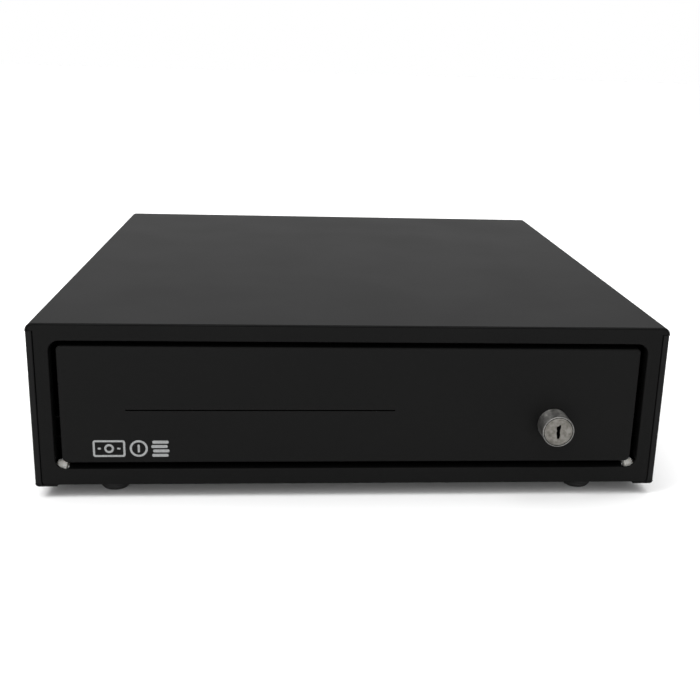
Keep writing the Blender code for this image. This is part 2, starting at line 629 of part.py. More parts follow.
def build_clips(centres):
    """The shaft and one sprung clip over each note compartment, drawn about the shaft."""
    end = INSERT_HALF - 2.6
    turned("clip_shaft", "steel", [(0, end), (2.5, end), (2.5, -end), (0, -end)], "X",
           (0, CLIP_Y, CLIP_Z), 14)
    path = [(4.0, 6.2), (-4.0, 6.2), (-60.0, -38.0), (-67.0, -38.5), (-73.0, -34.0)]
    strip = bent_sheet(path, [0, 8, 6, 5, 0], thick=1.6, steps=3)
    ear = fillet([(6.0, 0.0), (3.5, 6.0), (-6.0, 4.4), (-10.0, 2.0), (-4.6, -3.4), (0, -5.6),
                  (4.6, -3.4)], [2, 1, 1, 1, 2, 2, 2], 2)
    for k, x in enumerate(centres, 1):
        at = (x, CLIP_Y, CLIP_Z)
        clip = solid(f"note_clip_{k}", "clip_plastic", strip, "X", -CLIP_HALF, CLIP_HALF, at)
        for u0 in (-13.2, 10.4):
            join(clip, [ear, disc(0, 0, 2.9, 12)], "X", u0, u0 + 2.8)
        wire(f"clip_spring_{k}", "spring_steel", coil(3.6, -7.2, 6.8, 3.25, "X", 8), 0.55, at)


# ---- latch, solenoid, switch, spring and connector ----
def build_bracket():
    """The shelf behind the drawer, with the latch's pivot pin."""
    path = [(178.0, 11.0), (185.0, 11.0), (185.0, SHELF), (213.2, SHELF)]
    bracket = solid("latch_bracket", "zinc_sheet",
                    bent_sheet(path, [0, 2.2, 2.2, 0], thick=1.5, steps=3), "X", -14.0, 182.0)
    cut(bracket, disc(LATCH_X, LATCH_Y, 2.3, 14), "Z", SHELF - 3.6, SHELF + 6.4)
    pin = [(0, 49.3), (3.8, 49.3), (4.6, 48.6), (4.6, 47.0), (2.5, 47.0), (2.5, 44.2),
           (4.6, 44.2), (4.6, SHELF + 1.8), (2.0, SHELF + 1.8), (2.0, SHELF - 1.4),
           (0, SHELF - 1.4)]
    turned("latch_pivot_pin", "zinc_small", pin, "Z", (LATCH_X, LATCH_Y, 0), 18)


def build_latch():
    """The lever, drawn engaged and set down released. Its hook passes in front of the striker's
    pin, its ear meets the release bar and its tail has a slot for the plunger's pin."""
    lean = math.radians(11)
    along, across = (-math.sin(lean), math.cos(lean)), (math.cos(lean), math.sin(lean))

    def on_tail(side, reach):
        return (across[0] * side + along[0] * reach, across[1] * side + along[1] * reach)

    shape = [(-18.2, -14), (-18.2, -27.2), (-16, -30.0), (-4.0, -30.0), (-4.0, -26.2),
             (-13.4, -26.2), (-13.4, -17.0), (-3.0, -13.0), (5.0, -18.5), (8.6, -16.5),
             (7.0, -4.0), on_tail(4.8, 3.0), on_tail(3.4, 15.5), on_tail(-3.4, 15.5),
             on_tail(-4.8, 3.0)]
    radii = [3, 2, 1, 1.5, 1.5, 1.5, 2, 2, 2, 2, 2, 2, 2.2, 2.2, 2]
    slot = fillet([on_tail(-1.7, 8.2), on_tail(1.7, 8.2), on_tail(1.7, 13.8), on_tail(-1.7, 13.8)],
                  1.6, 3)
    lever = solid("latch_lever", "steel", [fillet(shape, radii, 3), disc(0, 0, 2.8, 16), slot],
                  "Z", 44.5, 46.7, (LATCH_X, LATCH_Y, 0))
    lever.rotation_euler = (0, 0, math.radians(LATCH_REST))


def build_solenoid():
    """A U frame and a coil, and the plunger with its return spring."""
    x0, x1 = COIL_X
    path = [(x0, COIL_Z + 8.0), (x0, SHELF + 1.8), (x1, SHELF + 1.8), (x1, COIL_Z + 8.0)]
    yoke = solid("solenoid_frame", "zinc_small",
                 bent_sheet(path, [0, 2, 2, 0], thick=1.6, steps=3), "Y", COIL_Y - 7, COIL_Y + 7)
    cut(yoke, disc(COIL_Y, COIL_Z, 4.3, 16), "X", x0 - 5, x1 + 5)
    half = (x1 - x0) / 2 - 2.1
    spool = [(6.9, half), (6.9, -half), (4.0, -half), (4.0, half)]
    turned("solenoid_coil", "coil_tape", spool, "X", ((x0 + x1) / 2, COIL_Y, COIL_Z), 22)

    profile = [(0, 46.0), (3.6, 46.0), (3.6, 8.6), (6.2, 8.6), (6.2, 7.2), (3.6, 7.2),
               (3.6, -4.6), (0, -4.6)]
    plunger = turned("solenoid_plunger", "steel", profile, "X", (PLUNGER_PIN, COIL_Y, COIL_Z), 16)
    cut(plunger, box_outline(-8.0, 6.4, -6.0, 6.0), "Z", -1.6, 1.7)
    join(plunger, disc(0, 0, 1.0, 10), "Z", -2.9, 3.0)
    wire("latch_spring", "spring_steel", coil(4.9, PLUNGER_PIN + 9.5, x0 - 0.9, 4.0, "X", 10),
         0.45, (0, COIL_Y, COIL_Z))


def build_switch():
    """The switch stands on the shelf and its lever reaches the tray's back wall."""
    solid("microswitch_body", "switch_plastic", box_outline(-6, 22, 187.0, 203.0, 1, 2), "Z",
          SHELF + 1.8, SHELF + 12.1)
    strip = bent_sheet([(0, 0), (4.0, -6.0), (25.0, -22.9), (28.0, -22.4)], [0, 3, 2, 0],
                       thick=0.7, steps=2)
    solid("microswitch_lever", "spring_steel", strip, "Z", 38.6, 42.6, (-3.0, 186.25, 0))


def build_connections():
    """Ejector spring between the rear panel and the tray, connector, and lead to the coil."""
    points = coil(6.0, TRAY_BACK + 1.3, BACK - 2.5, 7.0, "Y", 11)
    wire("eject_spring", "spring_steel", points, 0.8, (-20.0, 0, 64.0))
    stops = [(-60.0, 197.4, 30.0), (-56.0, 195.0, 22.0), (-40.0, 197.0, 14.6), (0.0, 197.6, 14.2),
             (150.0, 197.6, 14.2), (181.0, 197.6, 14.6), (187.0, 200.0, 24.0),
             (187.0, 205.0, 44.0), (182.0, 205.9, 55.0), (174.5, 205.9, 56.4),
             (169.0, 205.9, 54.1)]
    wire("solenoid_lead", "lead_sleeve", smooth_path(stops, 3), 1.2, sides=1)

    x, z = SOCKET_X, SOCKET_Z
    socket = solid("rj_socket", "switch_plastic", box_outline(x - 7.5, x + 7.5, z - 7.1, z + 7.1),
                   "Y", 199.0, BACK - 0.2)
    cut(socket, box_outline(x - 5.9, x + 5.9, z - 5.0, z + 3.6), "Y", 203.0, BACK + 5)
    cut(socket, box_outline(x - 2.4, x + 2.4, z + 3.0, z + 6.0), "Y", 203.0, BACK + 5)


top_cover = build_cover()
build_frame()
base_plate = build_base()
build_rear()
build_screws(top_cover, base_plate)
build_feet(base_plate)
for hand, which in ((-1, "left"), (1, "right")):
    build_rail(hand, which)
    build_front_roller(hand, which)
    build_runner(hand, which)
    build_rear_roller(hand, which)
build_drawer_front()
build_tray()
build_striker()
build_lock()
build_release_bar()
note_centres = build_insert()
build_coin_tray()
build_clips(note_centres)
build_bracket()
build_latch()
build_solenoid()
build_switch()
build_connections()
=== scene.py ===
"""Looks for the cash drawer: camera, studio light, procedural materials and finer visible pieces.

Lengths of the object are in millimetres and become metres through MM. The camera and the studio
are in metres. X runs right, the front faces -Y and the feet stand on z = 0. A new piece that names
CAD nodes stands for them.
"""

import json
import math

import bmesh
import bpy
from mathutils import Matrix, Vector

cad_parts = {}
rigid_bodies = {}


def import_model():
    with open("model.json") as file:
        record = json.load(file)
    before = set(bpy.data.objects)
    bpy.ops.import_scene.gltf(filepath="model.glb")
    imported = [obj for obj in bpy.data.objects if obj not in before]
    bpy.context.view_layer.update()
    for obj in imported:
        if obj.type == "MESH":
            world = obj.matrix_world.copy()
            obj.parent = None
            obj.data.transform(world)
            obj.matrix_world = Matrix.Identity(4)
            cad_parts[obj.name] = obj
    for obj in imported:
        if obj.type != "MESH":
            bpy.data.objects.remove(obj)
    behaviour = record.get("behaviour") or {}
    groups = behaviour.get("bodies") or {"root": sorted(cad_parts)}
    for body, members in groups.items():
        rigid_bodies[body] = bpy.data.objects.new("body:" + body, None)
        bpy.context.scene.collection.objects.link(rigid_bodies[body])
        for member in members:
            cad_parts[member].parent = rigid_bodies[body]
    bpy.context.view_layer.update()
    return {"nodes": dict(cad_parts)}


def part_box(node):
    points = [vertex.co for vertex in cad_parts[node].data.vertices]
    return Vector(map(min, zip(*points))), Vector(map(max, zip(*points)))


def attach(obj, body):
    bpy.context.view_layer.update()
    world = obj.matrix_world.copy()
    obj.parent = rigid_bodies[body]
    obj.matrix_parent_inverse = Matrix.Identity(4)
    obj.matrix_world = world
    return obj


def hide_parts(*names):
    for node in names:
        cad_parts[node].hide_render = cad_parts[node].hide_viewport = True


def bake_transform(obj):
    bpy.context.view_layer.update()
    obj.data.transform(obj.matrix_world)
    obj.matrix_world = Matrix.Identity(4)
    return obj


for old in list(bpy.data.objects):
    bpy.data.objects.remove(old, do_unlink=True)

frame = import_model()
NODES = frame["nodes"]
SCENE = bpy.context.scene

MM = 0.001
SHEET = 1.0                 # thickness of the steel sheet
WELD = 0.000002             # metres


def box_of(node):
    """(lowest, highest) corner of a CAD node, in millimetres."""
    lo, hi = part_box(node)
    return Vector(lo) / MM, Vector(hi) / MM


def middle_of(node):
    lo, hi = box_of(node)
    return (lo + hi) / 2


# ---- camera ----
EYE = (-0.0403, -0.7916, 0.2852)
PITCH, YAW, ROLL = 15.929, 4.930, 1.791     # degrees: down, towards +X, about the view
SENSOR, LENS = 36.0, 50.08                  # millimetres
SHIFT_X, SHIFT_Y = -0.0329, -0.0301
CLIP_NEAR, CLIP_FAR = 0.02, 60.0


def add_camera():
    pitch, yaw, roll = (math.radians(a) for a in (PITCH, YAW, ROLL))
    ahead = Vector((math.sin(yaw) * math.cos(pitch), math.cos(yaw) * math.cos(pitch),
                    -math.sin(pitch)))
    right = Vector((math.cos(yaw), -math.sin(yaw), 0))
    up = right.cross(ahead)
    side = math.cos(roll) * right + math.sin(roll) * up
    top = -math.sin(roll) * right + math.cos(roll) * up
    data = bpy.data.cameras.new("photo_camera")
    data.sensor_width = SENSOR
    data.lens = LENS
    data.shift_x = SHIFT_X
    data.shift_y = SHIFT_Y
    data.clip_start = CLIP_NEAR
    data.clip_end = CLIP_FAR
    camera = bpy.data.objects.new("photo_camera", data)
    SCENE.collection.objects.link(camera)
    turned = Matrix((side, top, -ahead)).transposed().to_4x4()
    camera.matrix_world = Matrix.Translation(EYE) @ turned
    SCENE.camera = camera


# ---- studio: pale floor, soft world, large softboxes (metres) ----
FLOOR_HALF = 12.0
FLOOR_DROP = 0.0002             # keeps the floor out of the plane of the feet
WORLD_SEEN = 1.0                # what the camera sees behind the floor
WORLD_LOW, WORLD_HIGH = 0.70, 2.4       # light from the horizon and from the zenith
WORLD_SIDES = 0.2               # share of that light from the far left and right
RISE = (0.12, 1.0)              # upward part of a direction, over which the light grows
ASIDE = (0.25, 0.95)            # sideways part of a direction, over which it falls off
SOFTBOXES = (
    # name, place, aim, width, height, watts
    ("softbox_top", (0.0, 0.25, 2.2), (0.0, 0.0, 0.0), 2.6, 2.0, 18.0),
    ("softbox_left", (-1.2, -0.75, 1.7), (0.0, 0.0, 0.06), 0.7, 0.7, 16.0),
    ("softbox_front", (0.0, -2.4, 0.30), (0.0, 0.0, 0.0), 3.0, 0.6, 20.0),
)


def add_floor():
    mesh = bpy.data.meshes.new("floor")
    h = FLOOR_HALF
    mesh.from_pydata([(-h, -h, 0), (h, -h, 0), (h, h, 0), (-h, h, 0)], [], [(0, 1, 2, 3)])
    floor = bpy.data.objects.new("floor", mesh)
    floor.location.z = -FLOOR_DROP
    SCENE.collection.objects.link(floor)
    look = Look("pale_floor", roughness=0.9, specular=0.0)
    paper = look.noise(6.0, detail=2)
    look.colour(paper, (0.90, 0.90, 0.90), (0.93, 0.93, 0.93))
    mesh.materials.append(look.mat)


def add_world():
    """Plain to the camera. As light it grows towards the zenith and falls off to both sides."""
    world = bpy.data.worlds.new("studio")
    world.use_nodes = True
    tree = world.node_tree
    tree.nodes.clear()

    def ramp(limits, low, high):
        made = tree.nodes.new("ShaderNodeMapRange")
        for socket, value in (("From Min", limits[0]), ("From Max", limits[1]),
                              ("To Min", low), ("To Max", high)):
            made.inputs[socket].default_value = value
        return made

    out = tree.nodes.new("ShaderNodeOutputWorld")
    lit = tree.nodes.new("ShaderNodeBackground")
    seen = tree.nodes.new("ShaderNodeBackground")
    seen.inputs["Color"].default_value = (WORLD_SEEN, WORLD_SEEN, WORLD_SEEN, 1)
    place = tree.nodes.new("ShaderNodeTexCoord")
    split = tree.nodes.new("ShaderNodeSeparateXYZ")
    rise = ramp(RISE, WORLD_LOW, WORLD_HIGH)
    across = ramp(ASIDE, 1.0, WORLD_SIDES)
    sideways = tree.nodes.new("ShaderNodeMath")
    sideways.operation = "ABSOLUTE"
    glow = tree.nodes.new("ShaderNodeMath")
    glow.operation = "MULTIPLY"
    path = tree.nodes.new("ShaderNodeLightPath")
    pick = tree.nodes.new("ShaderNodeMixShader")
    for source, target in ((place.outputs["Generated"], split.inputs["Vector"]),
                           (split.outputs["Z"], rise.inputs["Value"]),
                           (split.outputs["X"], sideways.inputs[0]),
                           (sideways.outputs["Value"], across.inputs["Value"]),
                           (rise.outputs["Result"], glow.inputs[0]),
                           (across.outputs["Result"], glow.inputs[1]),
                           (glow.outputs["Value"], lit.inputs["Strength"]),
                           (path.outputs["Is Camera Ray"], pick.inputs["Fac"]),
                           (lit.outputs["Background"], pick.inputs[1]),
                           (seen.outputs["Background"], pick.inputs[2]),
                           (pick.outputs["Shader"], out.inputs["Surface"])):
        tree.links.new(source, target)
    SCENE.world = world


def add_softboxes():
    for name, place, aim, width, height, watts in SOFTBOXES:
        data = bpy.data.lights.new(name, "AREA")
        data.shape = "RECTANGLE"
        data.size = width
        data.size_y = height
        data.energy = watts
        light = bpy.data.objects.new(name, data)
        light.location = place
        light.rotation_mode = "QUATERNION"
        light.rotation_quaternion = (Vector(aim) - Vector(place)).to_track_quat("-Z", "Y")
        SCENE.collection.objects.link(light)


def add_studio():
    add_floor()
    add_world()
    add_softboxes()
    SCENE.view_settings.view_transform = "Standard"
    SCENE.view_settings.look = "None"


# ---- materials ----
class Look:
    """A procedural material: a Principled shader and the nodes that feed it, in object space."""

    def __init__(self, name, metallic=0.0, roughness=0.5, specular=0.5, coat=0.0,
                 coat_roughness=0.1, anisotropic=0.0, subsurface=0.0):
        self.mat = bpy.data.materials.new(name)
        self.mat.use_nodes = True
        self.tree = self.mat.node_tree
        self.shader = self.tree.nodes["Principled BSDF"]
        for socket, value in (("Metallic", metallic), ("Roughness", roughness),
                              ("Specular IOR Level", specular), ("Coat Weight", coat),
                              ("Coat Roughness", coat_roughness), ("Anisotropic", anisotropic),
                              ("Subsurface Weight", subsurface)):
            self.shader.inputs[socket].default_value = value
        self.place = self.tree.nodes.new("ShaderNodeTexCoord").outputs["Object"]

    def node(self, kind, **settings):
        made = self.tree.nodes.new("ShaderNode" + kind)
        for key, value in settings.items():
            setattr(made, key, value)
        return made

    def feed(self, node, **values):
        """Sets or links a node's sockets by name, with _ for a space."""
        for key, value in values.items():
            socket = node.inputs[key.replace("_", " ")]
            if isinstance(value, bpy.types.NodeSocket):
                self.tree.links.new(value, socket)
            else:
                socket.default_value = value
        return node

    def stretched(self, stretch):
        return self.feed(self.node("Mapping"), Vector=self.place, Scale=stretch).outputs["Vector"]

    def noise(self, scale, stretch=(1, 1, 1), detail=2.0, rough=0.5):
        made = self.feed(self.node("TexNoise"), Vector=self.stretched(stretch), Scale=scale,
                         Detail=detail, Roughness=rough)
        return made.outputs["Fac"]

    def cells(self, scale):
        """One grey value per crystal or grain."""
        made = self.feed(self.node("TexVoronoi"), Vector=self.stretched((1, 1, 1)), Scale=scale)
        split = self.feed(self.node("SeparateColor"), Color=made.outputs["Color"])
        return split.outputs["Red"]

    def pits(self, scale):
        """Distance to the nearest grain centre."""
        made = self.feed(self.node("TexVoronoi"), Vector=self.stretched((1, 1, 1)), Scale=scale)
        return made.outputs["Distance"]

    def rings(self, scale):
        """Turning marks about Y through the object's origin."""
        made = self.node("TexWave", wave_type="RINGS", rings_direction="Y")
        self.feed(made, Vector=self.place, Scale=scale, Distortion=0.6, Detail=2.0)
        return made.outputs["Fac"]

    def bands(self, scale):
        """Stripes that follow one another along X."""
        made = self.node("TexWave", wave_type="BANDS", bands_direction="X")
        self.feed(made, Vector=self.place, Scale=scale, Distortion=0.3, Detail=1.0)
        return made.outputs["Fac"]

    def ranged(self, value, low, high, start=0.3, stop=0.7):
        """Low at start and high at stop."""
        made = self.feed(self.node("MapRange"), Value=value, From_Min=start, From_Max=stop,
                         To_Min=low, To_Max=high)
        return made.outputs["Result"]

    def maths(self, operation, *values):
        made = self.node("Math", operation=operation)
        for socket, value in zip(made.inputs, values):
            if isinstance(value, bpy.types.NodeSocket):
                self.tree.links.new(value, socket)
            else:
                socket.default_value = value
        return made.outputs["Value"]

    def total(self, a, b, share):
        """a and that share of b."""
        return self.maths("MULTIPLY_ADD", b, share, a)

    def colour(self, value, dark, light, start=0.3, stop=0.7):
        mix = self.node("Mix", data_type="RGBA")
        self.tree.links.new(self.ranged(value, 0.0, 1.0, start, stop), mix.inputs[0])
        mix.inputs[6].default_value = (*dark, 1)
        mix.inputs[7].default_value = (*light, 1)
        self.tree.links.new(mix.outputs[2], self.shader.inputs["Base Color"])
        return self

    def roughness(self, value, low, high, start=0.3, stop=0.7):
        self.tree.links.new(self.ranged(value, low, high, start, stop),
                            self.shader.inputs["Roughness"])
        return self

    def bump(self, height, depth, strength):
        """Relief of that depth in millimetres."""
        made = self.feed(self.node("Bump"), Height=height, Distance=depth * MM, Strength=strength)
        self.tree.links.new(made.outputs["Normal"], self.shader.inputs["Normal"])
        return self


def powder_coat(name, dark, light, specular, rough):
    """Fine matt powder paint: orange peel with a little cloudiness."""
    look = Look(name, specular=specular)
    peel = look.noise(1500.0, detail=3.0, rough=0.6)
    cloud = look.noise(14.0, detail=3.0)
    look.colour(look.total(cloud, peel, 0.25), dark, light, 0.35, 0.9)
    look.roughness(look.total(cloud, peel, 0.5), rough - 0.02, rough + 0.025, 0.5, 1.0)
    return look.bump(peel, 0.030, 0.5).mat


def zinc_coat(name, dark, light, rolled, rough=0.36):
    """Zinc-plated sheet: soft spangle with rolling lines along one axis."""
    look = Look(name, metallic=1.0, specular=0.5)
    grain = look.cells(170.0)
    lines = look.noise(60.0, stretch=rolled, detail=3.0)
    soft = look.noise(25.0, detail=2.0)
    look.colour(look.total(look.total(soft, grain, 0.18), lines, 0.35), dark, light, 0.45, 0.95)
    look.roughness(look.total(lines, grain, 0.5), rough - 0.07, rough + 0.08, 0.4, 1.1)
    return look.bump(lines, 0.006, 0.4).mat


def plain_plating(name, dark, light, rough=0.32):
    """Barrel-plated small steel part: slightly cloudy with fine tumbling marks."""
    look = Look(name, metallic=1.0)
    cloud = look.noise(160.0, detail=3.0)
    fine = look.noise(2600.0, detail=2.0)
    look.colour(cloud, dark, light).roughness(look.total(cloud, fine, 0.4), rough - 0.06,
                                              rough + 0.1, 0.45, 0.9)
    return look.bump(fine, 0.006, 0.4).mat


# Where a lock's colour and its painted shade change, from the origin in its front's plane, in
# millimetres.
RIM_FRONT, RIM_BACK = -14.6, -13.9
FLANK_MIDDLE, FLANK_START, FLANK_STOP = -2.0, 3.0, 9.5


def turned_nickel(name, dark, light, face, inside, sides, rough):
    """Dull nickel on die-cast zinc: streaks along the barrel and turning rings on its faces.
    Face, inside and sides are the shares of that colour on the face in front of the rim, behind it,
    and on the left and right flanks. A low share behind the rim darkens the keyway as painted
    shade; a low share on the flanks is a painted dark reflection on the barrel's sides."""
    look = Look(name, metallic=1.0, anisotropic=0.35)
    rings = look.rings(620.0)
    cloud = look.noise(420.0, detail=3.0)
    fine = look.noise(1800.0, stretch=(1, 3, 1), detail=2.0)
    streaks = look.noise(260.0, stretch=(1, 0.04, 1), detail=3.0, rough=0.7)
    split = look.feed(look.node("SeparateXYZ"), Vector=look.place)
    rim = (RIM_FRONT * MM, RIM_BACK * MM)
    # painted shade: behind the rim the colour falls to the inside share, dark in the plug's keyway
    depth = look.ranged(split.outputs["Y"], face, inside, *rim)
    aside = look.maths("ABSOLUTE", look.maths("ADD", split.outputs["X"], -FLANK_MIDDLE * MM))
    behind = look.maths("MULTIPLY", aside, look.ranged(split.outputs["Y"], 0.0, 1.0, *rim))
    # painted dark reflection: the left and right flanks behind the rim fall to the sides share
    painted_flank_shade = look.ranged(behind, 1.0, sides, FLANK_START * MM, FLANK_STOP * MM)
    mix = look.total(look.total(cloud, rings, 0.12), streaks, 0.7)
    look.colour(mix, dark, light, 0.62, 1.1)
    tint = look.shader.inputs["Base Color"].links[0].from_socket
    for share in (depth, painted_flank_shade):
        shade = look.node("Mix", data_type="RGBA", blend_type="MULTIPLY")
        shade.inputs[0].default_value = 1.0
        look.tree.links.new(tint, shade.inputs[6])
        look.tree.links.new(share, shade.inputs[7])
        tint = shade.outputs[2]
    look.tree.links.new(tint, look.shader.inputs["Base Color"])
    look.roughness(look.total(cloud, fine, 0.5), rough, rough + 0.14, 0.5, 1.0)
    return look.bump(look.total(fine, rings, 0.5), 0.012, 0.5).mat


def rolled_steel(name, dark, light, stretch, rough=0.34):
    """Bare or blackened steel with rolling lines along one axis."""
    look = Look(name, metallic=1.0)
    lines = look.noise(80.0, stretch=stretch, detail=3.0)
    spots = look.noise(300.0, detail=2.0)
    look.colour(look.total(lines, spots, 0.3), dark, light, 0.45, 0.85)
    look.roughness(lines, rough - 0.06, rough + 0.1)
    return look.bump(lines, 0.008, 0.4).mat


def drawn_wire(name, dark, light):
    """Drawn spring wire with fine die lines and an oily tint."""
    look = Look(name, metallic=1.0)
    lines = look.noise(1400.0, detail=3.0)
    tint = look.noise(90.0, detail=2.0)
    look.colour(look.total(tint, lines, 0.3), dark, light, 0.45, 0.85)
    look.roughness(lines, 0.24, 0.38)
    return look.bump(lines, 0.004, 0.4).mat


def moulded(name, dark, light, rough, grain_depth, specular=0.4, subsurface=0.0):
    """Moulded plastic or rubber with a spark-eroded grain."""
    look = Look(name, specular=specular, subsurface=subsurface)
    if subsurface:
        look.shader.inputs["Subsurface Radius"].default_value = (0.003, 0.0025, 0.002)
    grain = look.pits(1300.0)
    flow = look.noise(22.0, stretch=(1, 1, 2), detail=3.0)
    look.colour(look.total(flow, grain, 0.25), dark, light, 0.4, 0.8)
    look.roughness(look.total(flow, grain, 0.3), rough - 0.06, rough + 0.07, 0.4, 0.85)
    return look.bump(grain, grain_depth, 0.6).mat


def wound_tape(name, dark, light):
    """Amber tape wound round a coil: one band per turn."""
    look = Look(name, specular=0.5, coat=0.4, coat_roughness=0.2)
    turns = look.bands(42.0)
    film = look.noise(240.0, detail=3.0)
    look.colour(look.total(film, turns, 0.3), dark, light, 0.4, 0.9)
    look.roughness(film, 0.26, 0.42)
    return look.bump(turns, 0.10, 0.6).mat


def printed_ink(name, dark, light):
    """Screen print: a slightly mottled silver-grey film."""
    look = Look(name, specular=0.3)
    mottle = look.noise(900.0, detail=3.0)
    screen = look.pits(2400.0)
    look.colour(look.total(mottle, screen, 0.3), dark, light, 0.4, 0.85)
    look.roughness(mottle, 0.42, 0.56)
    return look.bump(screen, 0.01, 0.4).mat


ALONG_Y = (8, 0.4, 8)
LOOKS = {
    "painted_shell": powder_coat("shell_powder_coat", (0.0038, 0.0038, 0.0039),
                                 (0.0044, 0.0044, 0.0044), 0.092, 0.52),
    "painted_front": powder_coat("front_powder_coat", (0.0038, 0.0038, 0.0038),
                                 (0.0044, 0.0044, 0.0043), 0.058, 0.50),
    "zinc_sheet": zinc_coat("zinc_plated_sheet", (0.38, 0.39, 0.40), (0.55, 0.56, 0.57), ALONG_Y),
    "zinc_small": plain_plating("zinc_plated_hardware", (0.42, 0.42, 0.41), (0.60, 0.60, 0.58)),
    # the plug: its inside share is painted shade in its keyway
    "nickel_lock": turned_nickel("dull_nickel", (0.23, 0.215, 0.185), (0.54, 0.52, 0.48), 0.35,
                                 0.05, 1.0, 0.40),
    "steel": rolled_steel("bright_steel", (0.34, 0.34, 0.35), (0.52, 0.52, 0.52), ALONG_Y),
    # also lent to the rails and the lock keeper as painted shade behind the drawer's gap
    "dark_steel": rolled_steel("blackened_steel", (0.010, 0.010, 0.011), (0.026, 0.026, 0.026),
                               ALONG_Y, rough=0.55),
    "spring_steel": drawn_wire("spring_wire", (0.24, 0.24, 0.25), (0.42, 0.42, 0.42)),
    "roller_nylon": moulded("natural_nylon", (0.62, 0.61, 0.57), (0.74, 0.73, 0.69), 0.42, 0.010,
                            subsurface=0.12),
    "rubber": moulded("black_rubber", (0.007, 0.007, 0.007), (0.013, 0.013, 0.013), 0.72, 0.03,
                      specular=0.25),
    "lead_sleeve": moulded("cable_sleeve", (0.010, 0.010, 0.010), (0.018, 0.018, 0.018), 0.48,
                           0.006, specular=0.4),
    "till_plastic": moulded("till_abs", (0.010, 0.010, 0.011), (0.016, 0.016, 0.017), 0.48, 0.02),
    "clip_plastic": moulded("clip_acetal", (0.012, 0.012, 0.013), (0.019, 0.019, 0.020), 0.36,
                            0.008),
    "coil_tape": wound_tape("coil_tape_amber", (0.22, 0.10, 0.015), (0.46, 0.25, 0.05)),
    "switch_plastic": moulded("switch_body_plastic", (0.020, 0.020, 0.022),
                              (0.034, 0.034, 0.036), 0.42, 0.01),
}
# The frame plate has the shell's paint; this darker copy of it is painted shade on the frame's
# front face.
FRAME_SHADED_PAINT = powder_coat("frame_powder_coat_shaded", (0.0034, 0.0034, 0.0034),
                          (0.0043, 0.0043, 0.0042), 0.053, 0.50)
# the barrel: its sides share is a painted dark reflection on its flanks, leaving a bright band over
# the top as a painted highlight
BARREL = turned_nickel("bright_nickel", (0.32, 0.315, 0.305), (0.68, 0.67, 0.64), 0.34, 1.0, 0.10,
                       0.42)
INK = printed_ink("silver_ink", (0.185, 0.19, 0.19), (0.265, 0.27, 0.27))
GOLD = plain_plating("gilt_contacts", (0.62, 0.42, 0.14), (0.80, 0.58, 0.24), 0.25)
BOBBIN = moulded("bobbin_nylon", (0.50, 0.49, 0.45), (0.60, 0.59, 0.55), 0.42, 0.008)


# ---- outlines (millimetres) ----
def fillet(points, radii, steps=10, closed=True):
    """Points of a polygon or path whose corners are rounded."""
    out = []
    count = len(points)
    radii = list(radii) if hasattr(radii, "__len__") else [radii] * count
    for i, here in enumerate(points):
        corner = Vector(here)
        if radii[i] <= 0 or (not closed and i in (0, count - 1)):
            out.append(tuple(corner))
            continue
        a = (Vector(points[i - 1]) - corner).normalized()
        b = (Vector(points[(i + 1) % count]) - corner).normalized()
        half = math.acos(max(-1.0, min(1.0, a.dot(b)))) / 2
        reach = radii[i] / math.tan(half)
        centre = corner + (a + b).normalized() * radii[i] / math.sin(half)
        v0, v1 = corner + a * reach - centre, corner + b * reach - centre
        turn = math.atan2(v0.x * v1.y - v0.y * v1.x, v0.dot(v1))
        for k in range(steps + 1):
            c, s = math.cos(turn * k / steps), math.sin(turn * k / steps)
            out.append((centre.x + v0.x * c - v0.y * s, centre.y + v0.x * s + v0.y * c))
    return out


def box_outline(u0, u1, v0, v1, radii=0.0, steps=8):
    return fillet([(u0, v0), (u1, v0), (u1, v1), (u0, v1)], radii, steps)


def disc(u, v, r, segments=48):
    turn = 2 * math.pi / segments
    return [(u + r * math.cos(turn * k), v + r * math.sin(turn * k)) for k in range(segments)]


def bent_sheet(path, radii, side=1.0, thick=SHEET, steps=10):
    """Closed outline of a bent sheet: path is one face, the other lies thick away on its left."""
    face = [Vector(p) for p in fillet(path, radii, steps, closed=False)]
    other = []
    for i, p in enumerate(face):
        ways = [(p - face[i - 1]).normalized()] if i > 0 else []
        ways += [(face[i + 1] - p).normalized()] if i < len(face) - 1 else []
        normals = [Vector((-w.y, w.x)) * side for w in ways]
        if len(normals) == 2:
            other.append(p + (normals[0] + normals[1]) * thick / (1 + normals[0].dot(normals[1])))
        else:
            other.append(p + normals[0] * thick)
    return [tuple(p) for p in face] + [tuple(p) for p in reversed(other)]


# ---- meshes (metres) ----
AXES = {
    "Z": Matrix.Identity(4),
    "Y": Matrix(((1, 0, 0, 0), (0, 0, -1, 0), (0, 1, 0, 0), (0, 0, 0, 1))),
    "X": Matrix(((0, 0, 1, 0), (1, 0, 0, 0), (0, 1, 0, 0), (0, 0, 0, 1))),
}
TURNS = {
    "Z": Matrix.Identity(4),
    "Y": Matrix.Rotation(math.radians(90), 4, "X"),
    "X": Matrix.Rotation(math.radians(90), 4, "Y"),
}


def tidy(mesh):
    """The mesh with its doubled points welded and its faces pointing out."""
    bm = bmesh.new()
    bm.from_mesh(mesh)
    bmesh.ops.remove_doubles(bm, verts=bm.verts, dist=WELD)
    bmesh.ops.recalc_face_normals(bm, faces=bm.faces)
    bm.to_mesh(mesh)
    bm.free()
    return mesh


def evaluated(obj):
    bpy.context.view_layer.update()
    graph = bpy.context.evaluated_depsgraph_get()
    return bpy.data.meshes.new_from_object(obj.evaluated_get(graph))


